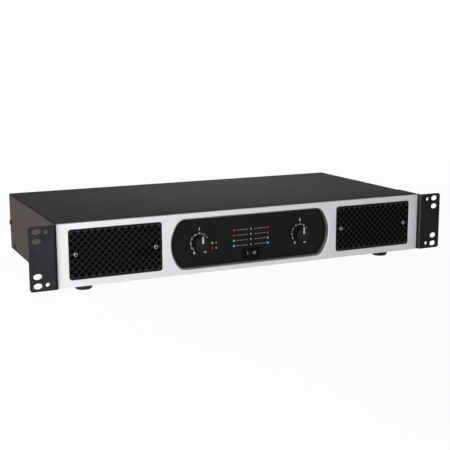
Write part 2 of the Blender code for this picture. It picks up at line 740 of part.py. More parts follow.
def build_grilles():
    """Flat perforated sheets inside the panel's windows, each screwed through its foam to the bulkhead."""
    edge = rounded_rectangle(0.0, 0.0, GRILLE_WIDTH, GRILLE_HEIGHT, WINDOW_CORNER - GAP)
    mesh = plate([edge] + grille_holes(), GRILLE_SHEET)
    foam_thickness = CASE_FRONT - GRILLE_BACK - 2 * GAP
    foam_loops = [rounded_rectangle(0.0, 0.0, GRILLE_WIDTH, GRILLE_HEIGHT, WINDOW_CORNER, 1)]
    for end in (-1, 1):
        foam_loops.append(round_hole(end * GRILLE_SCREW_X, 0.0, SMALL_SCREW[0] + SCREW_EASE, HIDDEN_ROUND))
    foam = plate(foam_loops, foam_thickness)
    for side, sign in SIDES:
        spot = place(sign * GRILLE_X, GRILLE_FRONT + GRILLE_SHEET / 2, CASE_MID) @ FRONT_FACING
        add_part(f"{side}_grille", mesh.copy(), BLACK_STEEL, spot)
        spot = place(sign * GRILLE_X, GRILLE_BACK + GAP + foam_thickness / 2, CASE_MID) @ FRONT_FACING
        add_part(f"{side}_filter", foam.copy(), FOAM, spot)
    reach = CASE_FRONT + SHEET + SHANK_TAIL - GRILLE_FRONT
    solid = screw(SMALL_SCREW, reach)
    for name, spot in grille_screw_spots().items():
        add_part(name, solid.copy(), BRIGHT_SCREW, spot, True)


# Rack ears and feet

def build_ears():
    width = EAR_OUTER - EAR_INNER
    slots = []
    for end in (-1, 1):
        outer = EAR_HEIGHT / 2 - SLOT_EDGE
        for z in (outer, outer - SLOT_STEP):
            slots.append(plate([oval(0.0, end * z, SLOT_WIDTH, SLOT_HEIGHT)], FLANGE))
    pilots = [plate([circle(0.0, end * (EAR_HEIGHT / 2 - PILOT_EDGE), PILOT_RADIUS, SMALL_ROUND)], FLANGE)
              for end in (-1, 1)]
    for side, sign in SIDES:
        inner = "right" if sign > 0 else "left"
        fold = {inner: EAR_FLANGE}
        mesh = folded_sheet(width, EAR_HEIGHT, fold, EAR_BEND, EAR_SHEET, EAR_CORNER, ARC_STEPS)
        spot = place(sign * (EAR_INNER + width / 2), 0.0, CASE_MID) @ REAR_FACING
        ear = add_part(f"{side}_rack_ear", mesh, BLACK_STEEL, spot, True)
        face = place(sign * (EAR_OUTER - SLOT_INSET), 0.0, CASE_MID) @ FRONT_FACING
        cuts = [(slot, face) for slot in slots]
        face = place(sign * (EAR_OUTER - PILOT_INSET), 0.0, CASE_MID) @ FRONT_FACING
        cuts += [(pilot, face) for pilot in pilots]
        cut(ear, f"{side}_ear_slots", cuts)


def build_feet():
    height = FOOT_HEIGHT - GAP
    hole = SMALL_SCREW[0] + SCREW_EASE
    recess = SMALL_SCREW[1] + SCREW_EASE
    bottom = FOOT_RADIUS - FOOT_TAPER
    profile = [
        (hole, height), (FOOT_RADIUS, height), (FOOT_RADIUS, FOOT_TAPER * 2), (bottom, 0.0), (recess, 0.0),
        (recess, FOOT_RECESS), (hole, FOOT_RECESS), (hole, height)]
    foot = turned(profile, ROUND)
    for name, x, distance in foot_spots():
        add_part(name, foot.copy(), RUBBER, place(x, distance, 0.0), True)


# Controls

def led_places():
    """Lamp name to its lens and its place on the control plate."""
    rows = [(1.5 - row) * LED_PITCH for row in range(4)]
    uses = (("protect", RED_LENS), ("clip", RED_LENS), ("signal", GREEN_LENS), ("power", BLUE_LENS))
    places = {}
    for (use, lens), row in zip(uses, rows):
        for number, sign in ((1, -1), (2, 1)):
            places[f"led_{use}_{number}"] = (lens, sign * LED_COLUMN_X, row)
    mode_x = -(KNOB_X - MODE_LED_OFFSET)
    places["led_parallel"] = (LIME_LENS, mode_x, rows[2])
    places["led_bridge"] = (RED_LENS, mode_x, rows[3])
    return places


def build_control_plate():
    loops = [rounded_rectangle(0.0, 0.0, PLATE_WIDTH, PLATE_HEIGHT, PLATE_CORNER, CORNER_STEPS)]
    for lens, x, z in led_places().values():
        loops.append(round_hole(x, z, LED_RADIUS + GAP, HIDDEN_ROUND))
    for sign in (-1, 1):
        loops.append(round_hole(sign * KNOB_X, -CONTROL_DROP, BUSHING_RADIUS + GAP, SMALL_ROUND))
    loops.append(rectangle(0.0, -SWITCH_DROP, SWITCH_WIDTH + 2 * GAP, SWITCH_HEIGHT + 2 * GAP))
    spot = place(0.0, CASE_FRONT + PLATE_THICKNESS / 2, CASE_MID) @ FRONT_FACING
    add_part("control_plate", plate(loops, PLATE_THICKNESS), BLACK_PLASTIC, spot)


def build_leds():
    length = BOARD_FRONT - GAP - CASE_FRONT + LED_PROUD
    profile = [
        (0.0, 0.0), (LED_RADIUS * LED_SHOULDER, -LED_RADIUS * LED_DROP), (LED_RADIUS, -LED_RADIUS),
        (LED_RADIUS, -length), (0.0, -length)]
    lamp = turned(profile, HIDDEN_ROUND)
    for name, (lens, x, z) in led_places().items():
        add_part(name, lamp.copy(), lens, place(x, CASE_FRONT - LED_PROUD, CASE_MID + z) @ FRONT_FACING, True)


def build_knobs():
    rear = CASE_FRONT - KNOB_FLOAT
    face = KNOB_HEIGHT
    hub = (SHAFT_RADIUS + GAP) / math.cos(math.pi / KNOB_STEPS)
    hollow = KNOB_FACE
    depth = BUSHING_REACH + KNOB_FLOAT + NUT_THICKNESS / 2
    profile = [
        (0.0, face), (KNOB_FACE, face), (KNOB_RADIUS - KNOB_TAPER, face - KNOB_BEVEL), (KNOB_RADIUS, 0.0),
        (hollow, 0.0), (hollow, depth), (hub, depth), (hub, face - KNOB_ROOF), (0.0, face - KNOB_ROOF)]
    knob = turned(profile, KNOB_STEPS)
    shaft_front = rear - face + KNOB_ROOF + GAP
    shaft_end = PLATE_BACK + GAP + STANDOFF_LENGTH / 2
    shaft_length = shaft_end - shaft_front
    shaft = rod(SHAFT_RADIUS, shaft_length)
    bushing_front = CASE_FRONT - BUSHING_REACH
    body_front = PLATE_BACK + GAP
    bushing_length = body_front - bushing_front + STANDOFF_LENGTH / 2
    body = box(POT_SIZE, POT_SIZE, STANDOFF_LENGTH)
    bushing = rod(BUSHING_RADIUS, bushing_length)
    nut = plate([round_hole(0.0, 0.0, NUT_FLAT, NUT_SIDES)], NUT_THICKNESS)
    nut_middle = PLATE_THICKNESS + 2 * GAP + NUT_THICKNESS / 2
    shell = fuse("pot", [
        (body, Matrix.Translation((0.0, 0.0, -STANDOFF_LENGTH / 2))),
        (bushing, Matrix.Translation((0.0, 0.0, bushing_length / 2 - STANDOFF_LENGTH / 2))),
        (nut, Matrix.Translation((0.0, 0.0, nut_middle)))])
    bore_length = 2 * (bushing_length + GAP)
    bore_back = shaft_end + GAP - body_front
    for number, sign in ((1, -1), (2, 1)):
        x = sign * KNOB_X
        add_part(f"knob_{number}", knob.copy(), BLACK_PLASTIC, place(x, rear, CONTROL_Z) @ FRONT_FACING, True)
        spot = place(x, (shaft_front + shaft_end) / 2, CONTROL_Z) @ FRONT_FACING
        add_part(f"pot_shaft_{number}", shaft.copy(), BARE_STEEL, spot, True)
        seat = place(x, body_front, CONTROL_Z) @ FRONT_FACING
        pot = add_part(f"pot_{number}", shell.copy(), BARE_STEEL, seat)
        hollow_rod = bore(SHAFT_RADIUS + GAP, bore_length)
        deep = seat @ Matrix.Translation((0.0, 0.0, bore_length / 2 - bore_back))
        cut(pot, f"pot_bore_{number}", [(hollow_rod, deep)])


def build_power_switch():
    z = CASE_MID - SWITCH_DROP
    bezel_face = CASE_FRONT - GAP - BEZEL_THICKNESS
    pivot = bezel_face + ROCKER_PIVOT
    cavity_width = SWITCH_WIDTH - 2 * SWITCH_WALL
    cavity_height = SWITCH_HEIGHT - 2 * SWITCH_WALL
    bezel = plate([rounded_rectangle(
        0.0, 0.0, SWITCH_WIDTH + 2 * BEZEL_LIP, SWITCH_HEIGHT + 2 * BEZEL_LIP, BEZEL_LIP, CORNER_STEPS)],
        BEZEL_THICKNESS)
    bezel = round_front(bezel, BEZEL_LIP / 2, 1)
    body_length = SWITCH_DEPTH + BEZEL_THICKNESS / 2
    mesh = fuse("switch", [
        (bezel, Matrix.Translation((0.0, 0.0, -BEZEL_THICKNESS / 2))),
        (box(SWITCH_WIDTH, SWITCH_HEIGHT, body_length),
         Matrix.Translation((0.0, 0.0, -BEZEL_THICKNESS / 2 - body_length / 2)))])
    body = add_part("power_switch_body", mesh, BLACK_PLASTIC, place(0.0, bezel_face, z) @ FRONT_FACING)
    cavity_depth = ROCKER_PIVOT + ROCKER_HEEL * math.sqrt(2) + RUNNING
    cavity = box(cavity_width, 2 * cavity_depth, cavity_height)
    pin_hole = bore(ROCKER_PIN + RUNNING, SWITCH_HEIGHT + 2 * BEZEL_LIP)
    cut(body, "switch_cavity", [(cavity, place(0.0, bezel_face, z))])
    cut(body, "switch_pin_hole", [(pin_hole, place(0.0, pivot, z))])

    reach = cavity_width / 2 - RUNNING
    crown = math.degrees(ROCKER_CROWN)
    low = -math.degrees(ROCKER_TILT)
    loop = arc(0.0, 0.0, reach, low, crown, ARC_STEPS)
    loop.append((0.0, ROCKER_VALLEY))
    loop += arc(0.0, 0.0, reach, 180 - crown, 180 - low, ARC_STEPS)
    loop += [(-ROCKER_HEEL, -ROCKER_HEEL), (ROCKER_HEEL, -ROCKER_HEEL)]
    paddle = plate([loop], cavity_height - 2 * RUNNING)
    pin = rod(ROCKER_PIN, SWITCH_HEIGHT - SWITCH_WALL / 2)
    mesh = fuse("rocker", [(paddle, UPRIGHT), (pin, UPRIGHT)])
    turn = Matrix.Rotation(math.pi - ROCKER_TILT, 4, "Z")
    add_part("power_rocker", mesh, BLACK_PLASTIC, place(0.0, pivot, z) @ turn)


def build_control_board():
    """A board with its four pressed-in standoffs, which reach forward to the control plate."""
    bottom = -SWITCH_DROP + SWITCH_HEIGHT / 2 + 2 * GAP
    height = CONTROL_BOARD_TOP - bottom
    solids = [(box(CONTROL_BOARD_WIDTH, height, BOARD), Matrix.Translation((0.0, 0.0, -BOARD / 2)))]
    reach = STANDOFF_LENGTH + GAP
    pillar = rod(STANDOFF_RADIUS, reach + BOARD / 2, HIDDEN_ROUND)
    for sign in (-1, 1):
        for end in (-1, 1):
            x = sign * (CONTROL_BOARD_WIDTH / 2 - STANDOFF_RADIUS * 2)
            y = end * (height / 2 - STANDOFF_RADIUS * 2)
            solids.append((pillar, Matrix.Translation((x, y, (reach - BOARD / 2) / 2))))
    middle = CASE_MID + (CONTROL_BOARD_TOP + bottom) / 2
    spot = place(0.0, BOARD_FRONT, middle) @ FRONT_FACING
    add_part("control_board", fuse("control_board", solids), BOARD_GREEN, spot)


# Rear panel

def rear_places():
    """Even spacing of the rear connectors between the fans, left to right as seen from the front."""
    widths = [
        ("inlet", INLET_WIDTH), ("output_2", D_WIDTH), ("output_1", D_WIDTH), ("mode", MODE_WIDTH),
        ("input_2", D_WIDTH), ("input_1", D_WIDTH)]
    span = 2 * FAN_X - FAN_SIZE
    spare = span - sum(width for name, width in widths)
    step = spare / (len(widths) + 1)
    x = -span / 2
    places = {}
    for name, width in widths:
        x += step + width / 2
        places[name] = x
        x += width / 2
    return places


def inlet_outline(width, height, cut_corner):
    """A rectangle with its two upper corners cut off."""
    right = width / 2
    top = height / 2
    return [
        (-right, -top), (right, -top), (right, top - cut_corner), (right - cut_corner, top),
        (cut_corner - right, top), (-right, top - cut_corner)]


def fan_slots():
    """Two rings of curved slots that make the fan guard."""
    loops = []
    inner = FAN_HUB
    ring = (FAN_BORE - inner) / 2
    bar = FAN_STRUT / 2
    for index in range(2):
        low = inner + index * ring + bar / 2
        high = inner + (index + 1) * ring - bar / 2
        for quarter in range(4):
            gap_low = math.degrees(bar / low)
            gap_high = math.degrees(bar / high)
            start = 90 * quarter + 45
            outer = arc(0.0, 0.0, high, start + gap_high, start + 90 - gap_high, ARC_STEPS)
            loops.append(outer + arc(0.0, 0.0, low, start + 90 - gap_low, start + gap_low, CORNER_STEPS))
    return loops


def build_rear_panel():
    four = {"left": FLANGE, "right": FLANGE, "front": FLANGE, "back": FLANGE}
    wall = folded_sheet(INNER_WIDTH, INNER_HEIGHT, four, BEND, SHEET)
    panel = add_part("rear_panel", wall, CASE_PAINT, place(0.0, CASE_REAR, INNER_MID) @ FRONT_FACING)
    places = rear_places()
    cuts = []
    for name in ("input_1", "input_2", "output_1", "output_2"):
        cuts.append((bore(D_BARREL + GAP, FLANGE), place(places[name], CASE_REAR, CASE_MID) @ REAR_FACING))
    inlet = plate([inlet_outline(INLET_BODY_WIDTH + 2 * GAP, INLET_BODY_HEIGHT + 2 * GAP, INLET_CUT)], FLANGE)
    cuts.append((inlet, place(places["inlet"], CASE_REAR, CASE_MID) @ REAR_FACING))
    slot_width = SLIDER_WIDTH + 2 * (SLIDER_TRAVEL + RUNNING)
    slot = box(slot_width, FLANGE, SLIDER_HEIGHT + 2 * RUNNING)
    cuts.append((slot, place(places["mode"], CASE_REAR, CASE_MID)))
    for side, sign in SIDES:
        for loop in fan_slots():
            cuts.append((plate([loop], FLANGE), place(sign * FAN_X, CASE_REAR, CASE_MID) @ REAR_FACING))
    cut(panel, "rear_panel_openings", cuts)
    latch_cuts = []
    for number in (1, 2):
        notch = box(LATCH_WIDTH + 2 * RUNNING, FLANGE, LATCH_THICKNESS + 2 * RUNNING)
        latch_cuts.append((notch, place(places[f"input_{number}"], CASE_REAR, CASE_MID + LATCH_RISE)))
    cut(panel, "rear_panel_latch_notches", latch_cuts)


def connector_shell():
    """A square flange with a round barrel behind it. The flange face is at Z = 0, facing up."""
    flange = plate([rounded_rectangle(0.0, 0.0, D_WIDTH, D_HEIGHT, D_CORNER, CORNER_STEPS)], D_FLANGE)
    length = D_DEPTH + D_FLANGE / 2
    return fuse("connector", [
        (flange, Matrix.Translation((0.0, 0.0, -D_FLANGE / 2))),
        (rod(D_BARREL, length, BORE_STEPS), Matrix.Translation((0.0, 0.0, -D_FLANGE / 2 - length / 2)))])


def build_connectors():
    places = rear_places()
    flange_face = CASE_REAR + GAP + D_FLANGE
    shell = connector_shell()
    for number in (1, 2):
        seat = place(places[f"input_{number}"], flange_face, CASE_MID) @ REAR_FACING
        socket = add_part(f"xlr_input_{number}", shell.copy(), BLACK_PLASTIC, seat, True)
        cut(socket, f"input_bore_{number}", [(rod(INPUT_BORE, 2 * INPUT_BORE_DEPTH, BORE_STEPS), seat)])
        slot_depth = LATCH_LENGTH + LATCH_TRAVEL
        slot = box(LATCH_WIDTH + 2 * RUNNING, LATCH_THICKNESS + 2 * RUNNING, 2 * slot_depth)
        cut(socket, f"input_latch_slot_{number}", [(slot, seat @ Matrix.Translation((0.0, LATCH_RISE, 0.0)))])
        latch = box(LATCH_WIDTH, LATCH_THICKNESS, LATCH_LENGTH)
        latch_spot = seat @ Matrix.Translation((0.0, LATCH_RISE, LATCH_PROUD - LATCH_LENGTH / 2))
        add_part(f"xlr_latch_{number}", latch, BARE_STEEL, latch_spot)

        seat = place(places[f"output_{number}"], flange_face, CASE_MID) @ REAR_FACING
        socket = add_part(f"speaker_output_{number}", shell.copy(), BLACK_PLASTIC, seat, True)
        edges = [circle(0.0, 0.0, OUTPUT_BORE, BORE_STEPS), circle(0.0, 0.0, OUTPUT_POST, SMALL_ROUND)]
        ring = plate(edges, 2 * OUTPUT_DEPTH)
        half_step = Matrix.Rotation(math.pi / BORE_STEPS, 4, "Z")
        cut(socket, f"output_ring_{number}", [(ring, seat @ half_step)])


def build_inlet():
    places = rear_places()
    seat = place(places["inlet"], CASE_REAR + GAP + INLET_FLANGE, CASE_MID) @ REAR_FACING
    edge = rounded_rectangle(0.0, 0.0, INLET_WIDTH, INLET_HEIGHT, D_CORNER, CORNER_STEPS)
    flange = plate([edge], INLET_FLANGE)
    length = INLET_DEPTH + INLET_FLANGE / 2
    body = plate([inlet_outline(INLET_BODY_WIDTH, INLET_BODY_HEIGHT, INLET_CUT)], length)
    solids = fuse("inlet", [
        (flange, Matrix.Translation((0.0, 0.0, -INLET_FLANGE / 2))),
        (body, Matrix.Translation((0.0, 0.0, -INLET_FLANGE / 2 - length / 2)))])
    depth = INLET_DEPTH - INLET_WALL
    cavity = plate([inlet_outline(
        INLET_BODY_WIDTH - 2 * INLET_WALL, INLET_BODY_HEIGHT - 2 * INLET_WALL, INLET_CUT)], 2 * depth)
    mesh = carve("inlet", solids, cavity)
    pin = box(PIN_WIDTH, PIN_HEIGHT, PIN_LENGTH)
    pin_middle = PIN_LENGTH / 2 - depth - INLET_WALL / 2
    solids = [(mesh, UPRIGHT)]
    for step in (-1, 0, 1):
        rise = PIN_HEIGHT / 2 if step == 0 else -PIN_HEIGHT / 2
        solids.append((pin, Matrix.Translation((step * PIN_SPACING, rise, pin_middle))))
    add_part("mains_inlet", fuse("mains_inlet", solids), BLACK_PLASTIC, seat)


def build_mode_switch():
    x = rear_places()["mode"]
    inner_face = CASE_REAR - SHEET - GAP
    body = add_part(
        "mode_switch_body", box(MODE_WIDTH, MODE_DEPTH, MODE_HEIGHT), BARE_STEEL,
        place(x, inner_face - MODE_DEPTH / 2, CASE_MID))
    slot_width = SLIDER_WIDTH + 2 * (SLIDER_TRAVEL + RUNNING)
    slot_depth = MODE_DEPTH / 2
    slot = box(slot_width, 2 * slot_depth, SLIDER_HEIGHT + 2 * RUNNING)
    cut(body, "mode_slot", [(slot, place(x, inner_face, CASE_MID))])
    front = inner_face - slot_depth + GAP
    length = CASE_REAR + SLIDER_PROUD - front
    add_part(
        "mode_switch_slider", box(SLIDER_WIDTH, length, SLIDER_HEIGHT), BLACK_PLASTIC,
        place(x, front + length / 2, CASE_MID))


# Fans

def blade(hub_radius, tip_radius):
    """One twisted blade from inside the hub to its tip, thickened from a grid."""
    work = bmesh.new()
    bmesh.ops.create_grid(work, x_segments=1, y_segments=1, size=0.5)
    root = hub_radius - BLADE_THICKNESS
    for vert in work.verts:
        share = vert.co.x + 0.5
        radius = root + (tip_radius - root) * share
        pitch = BLADE_PITCH_ROOT + (BLADE_PITCH_TIP - BLADE_PITCH_ROOT) * share
        along = vert.co.y * BLADE_CHORD
        angle = along * math.cos(pitch) / radius
        vert.co = (radius * math.cos(angle), radius * math.sin(angle), along * math.sin(pitch))
    mesh = bpy.data.meshes.new("blade")
    work.to_mesh(mesh)
    work.free()
    item = bpy.data.objects.new("blade", mesh)
    bpy.context.scene.collection.objects.link(item)
    thicken = item.modifiers.new("thicken", "SOLIDIFY")
    thicken.thickness = BLADE_THICKNESS
    thicken.offset = 0.0
    solid = evaluated(item)
    bpy.data.objects.remove(item)
    return solid


def build_fans():
    hub_plate = plate([circle(0.0, 0.0, FAN_HUB, ROUND)], FAN_SPIDER)
    strut = box(2 * FAN_BORE + 2 * FAN_STRUT, FAN_STRUT, FAN_SPIDER)
    housing = plate([
        rounded_rectangle(0.0, 0.0, FAN_SIZE, FAN_SIZE, FAN_CORNER, 1),
        round_hole(0.0, 0.0, FAN_BORE, BORE_STEPS)], FAN_DEPTH)
    rear = Matrix.Translation((0.0, 0.0, FAN_DEPTH / 2 - FAN_SPIDER / 2))
    struts = [(strut, rear @ Matrix.Rotation(math.radians(angle), 4, "Z")) for angle in (45, 135)]
    frame = fuse("fan_frame", [(housing, UPRIGHT), (hub_plate, rear)] + struts)

    tip = FAN_BORE - FAN_TIP_GAP
    hub_half = (FAN_DEPTH - FAN_SPIDER) / 2 - RUNNING
    shaft_end = hub_half + RUNNING + FAN_SPIDER / 2
    profile = [
        (0.0, shaft_end), (FAN_SHAFT, shaft_end), (FAN_SHAFT, hub_half), (FAN_HUB, hub_half),
        (FAN_HUB, -hub_half), (0.0, -hub_half)]
    hub = turned(profile, ROUND)
    solids = [(hub, UPRIGHT)]
    wing = blade(FAN_HUB * math.cos(math.pi / ROUND), tip)
    for index in range(BLADES):
        solids.append((wing, Matrix.Rotation(2 * math.pi * index / BLADES, 4, "Z")))
    rotor = fuse("fan_rotor", solids)
    hub_shift = FAN_SPIDER / 2
    for side, sign in SIDES:
        middle = place(sign * FAN_X, FAN_FRONT + FAN_DEPTH / 2, CASE_MID) @ REAR_FACING
        body = add_part(f"{side}_fan_frame", frame.copy(), BLACK_PLASTIC, middle, True)
        socket = bore(FAN_SHAFT + RUNNING, 2 * FAN_SPIDER)
        bearing = middle @ Matrix.Translation((0.0, 0.0, FAN_DEPTH / 2 - FAN_SPIDER))
        cut(body, f"{side}_fan_bearing", [(socket, bearing)])
        spot = middle @ Matrix.Translation((0.0, 0.0, -hub_shift))
        add_part(f"{side}_fan_rotor", rotor.copy(), BLACK_PLASTIC, spot, True)


# Inside

def build_main_board():
    """A board with its pressed-in standoffs below and its row of power transistors along each side."""
    solids = [(box(MAIN_BOARD_WIDTH, MAIN_BOARD_LENGTH, BOARD), UPRIGHT)]
    pillar_length = MAIN_BOARD_LIFT - GAP + BOARD / 2
    pillar = rod(STANDOFF_RADIUS, pillar_length, HIDDEN_ROUND)
    block = box(TRANSISTOR_THICKNESS, TRANSISTOR_LENGTH, TRANSISTOR_HEIGHT + BOARD / 2)
    for sign in (-1, 1):
        for end in (-1, 1):
            x = sign * (MAIN_BOARD_WIDTH / 2 - MAIN_STANDOFF_INSET)
            y = end * (MAIN_BOARD_LENGTH / 2 - MAIN_STANDOFF_INSET)
            solids.append((pillar, Matrix.Translation((x, y, -pillar_length / 2))))
        for step in (-1, 0, 1):
            z = (TRANSISTOR_HEIGHT + BOARD / 2) / 2
            solids.append((block, Matrix.Translation((sign * TRANSISTOR_X, step * TRANSISTOR_STEP, z))))
    spot = place(0.0, MAIN_BOARD_MIDDLE, MAIN_BOARD_BOTTOM + BOARD / 2)
    add_part("main_board", fuse("main_board", solids), BOARD_GREEN, spot)


def heatsink_outline(height):
    """A comb: one upright base with level fins."""
    step = (height - HEATSINK_FIN) / (HEATSINK_FINS - 1)
    tip = HEATSINK_BASE + 2 * HEATSINK_REACH
    loop = [(0.0, 0.0)]
    for fin in range(HEATSINK_FINS):
        low = fin * step
        loop += [(tip, low), (tip, low + HEATSINK_FIN)]
        if fin < HEATSINK_FINS - 1:
            loop += [(HEATSINK_BASE, low + HEATSINK_FIN), (HEATSINK_BASE, low + step)]
    loop.append((0.0, height))
    return loop


def build_inside():
    sink_height = INNER_HEIGHT - HEATSINK_HEADROOM
    front = CASE_FRONT + HEATSINK_FRONT
    rear = FAN_FRONT - HEATSINK_REAR
    length = rear - front
    comb = heatsink_outline(sink_height)
    right = plate([comb], length)
    left = plate([[(-x, z) for x, z in comb]], length)
    for (side, sign), mesh in zip(SIDES, (left, right)):
        spot = place(sign * HEATSINK_INNER, (front + rear) / 2, INNER_BOTTOM) @ FRONT_FACING
        add_part(f"{side}_heat_sink", mesh, ALUMINIUM, spot)
    build_main_board()

    window = (CORE_SIZE - 2 * CORE_YOKE - CORE_LEG) / 2
    offset = (CORE_LEG + window) / 2
    core_loops = [rectangle(0.0, 0.0, CORE_SIZE, CORE_SIZE)]
    for sign in (-1, 1):
        core_loops.append(rectangle(sign * offset, 0.0, window, CORE_SIZE - 2 * CORE_YOKE))
    base = MAIN_BOARD_TOP + GAP
    winding_height = CORE_SIZE - 2 * CORE_YOKE - 2 * GAP
    core_z = base + CORE_SIZE / 2
    core_spot = place(0.0, MAIN_BOARD_MIDDLE, core_z) @ FRONT_FACING
    add_part("transformer_core", plate(core_loops, CORE_THICKNESS), FERRITE, core_spot)
    inner_x = CORE_LEG + 2 * GAP
    inner_y = CORE_THICKNESS + 2 * GAP
    wrap = 2 * (window - WINDING_MARGIN)
    corner = window - WINDING_MARGIN
    winding = plate([
        rounded_rectangle(0.0, 0.0, CORE_LEG + wrap, CORE_THICKNESS + wrap, corner, CORNER_STEPS),
        rectangle(0.0, 0.0, inner_x, inner_y)], winding_height)
    add_part("transformer_winding", winding, COPPER_TAPE, place(0.0, MAIN_BOARD_MIDDLE, core_z))

    can = turned([
        (0.0, CAPACITOR_HEIGHT), (CAPACITOR_RADIUS - BEND, CAPACITOR_HEIGHT),
        (CAPACITOR_RADIUS, CAPACITOR_HEIGHT - BEND), (CAPACITOR_RADIUS, 0.0), (0.0, 0.0)], ROUND)
    for side, sign in SIDES:
        x = sign * (CORE_SIZE / 2 + CAPACITOR_STEP)
        add_part(f"{side}_filter_capacitor", can.copy(), CAN_SLEEVE, place(x, MAIN_BOARD_MIDDLE, base), True)
    build_ribbon()


def build_ribbon():
    """A flat cable that leaves the control board level and curves down to the main board."""
    start_y = BOARD_FRONT + BOARD + GAP
    start_z = CONTROL_Z
    end_y = start_y + RIBBON_REACH
    end_z = MAIN_BOARD_TOP + GAP
    work = bmesh.new()
    bmesh.ops.create_grid(work, x_segments=1, y_segments=RIBBON_STEPS, size=0.5)
    for vert in work.verts:
        turn = (vert.co.y + 0.5) * math.pi / 2
        y = start_y + (end_y - start_y) * math.sin(turn)
        z = end_z + (start_z - end_z) * math.cos(turn)
        vert.co = (vert.co.x * RIBBON_WIDTH, y - start_y, z - start_z)
    mesh = bpy.data.meshes.new("ribbon")
    work.to_mesh(mesh)
    work.free()
    strip = bpy.data.objects.new("ribbon", mesh)
    bpy.context.scene.collection.objects.link(strip)
    thicken = strip.modifiers.new("thicken", "SOLIDIFY")
    thicken.thickness = RIBBON_THICKNESS
    thicken.offset = 0.0
    solid = evaluated(strip)
    bpy.data.objects.remove(strip)
    add_part("ribbon_cable", solid, CABLE_GREY, place(RIBBON_X, start_y, start_z), True)


build_case()
build_front_panel()
build_grilles()
build_ears()
build_feet()
build_control_plate()
build_leds()
build_knobs()
build_power_switch()
build_control_board()
build_rear_panel()
build_connectors()
build_inlet()
build_mode_switch()
build_fans()
build_inside()
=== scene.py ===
"""Looks of the rack-mount power amplifier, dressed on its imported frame.

Metres, +Z up, front towards -Y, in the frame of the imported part.
"""
import math

import bmesh
import bpy
from mathutils import Matrix, Vector, noise


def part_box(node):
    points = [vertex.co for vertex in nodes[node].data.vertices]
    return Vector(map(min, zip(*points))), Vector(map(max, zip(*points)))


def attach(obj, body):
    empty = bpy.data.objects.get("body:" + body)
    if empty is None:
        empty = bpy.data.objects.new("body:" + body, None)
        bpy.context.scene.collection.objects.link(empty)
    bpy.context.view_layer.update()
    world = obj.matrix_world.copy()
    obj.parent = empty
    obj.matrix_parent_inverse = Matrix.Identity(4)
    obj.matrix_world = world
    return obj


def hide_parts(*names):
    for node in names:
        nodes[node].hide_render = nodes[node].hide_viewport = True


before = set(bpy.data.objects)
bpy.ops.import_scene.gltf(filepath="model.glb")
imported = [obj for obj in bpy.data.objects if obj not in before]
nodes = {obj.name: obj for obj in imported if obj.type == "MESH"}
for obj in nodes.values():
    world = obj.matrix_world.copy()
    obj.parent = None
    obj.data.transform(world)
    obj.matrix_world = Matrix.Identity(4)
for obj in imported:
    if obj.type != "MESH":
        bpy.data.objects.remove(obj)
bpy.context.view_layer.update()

# Places in the part's frame
PANEL_FACE = -0.1063
PANEL_BACK = -0.1013
GRILLE_FRONT = -0.1053
PLATE_FACE = -0.1010
CASE_REAR = 0.1060
CASE_MID = 0.0415
CASE_SIDE = 0.2130
TRAY_BOTTOM = 0.0090
PILLAR_INSET = 0.0060
SINK_BASE = 0.0055
CONTROL_Z = 0.0401
PANEL_MID = 0.0409
KNOB_X = 0.0600
KNOB_REAR = -0.1015
SWITCH_Z = 0.0239
ROCKER_PIVOT_Y = -0.0993
FLANGE_FACE = 0.1085
INLET_FACE = 0.1088
FAN_X = 0.1650
INPUT_X = (0.1107143, 0.0684286)
OUTPUT_X = (-0.0041429, -0.0464286)
INLET_X = -0.0997143
SIDES = ("left", "right")
ENDS = (-1, 1)


def at(x, y, z):
    return Matrix.Translation((x, y, z))


def turned_by(degrees, axis):
    return Matrix.Rotation(math.radians(degrees), 4, axis)


# Turns of a shape drawn flat, named by the side that it then faces
FRONT = turned_by(90, "X")
REAR = turned_by(180, "Z") @ FRONT
LEFT = turned_by(-90, "Y")
RIGHT = turned_by(90, "Y")
DOWN = turned_by(180, "X")
HERE = Matrix.Identity(4)


# Materials

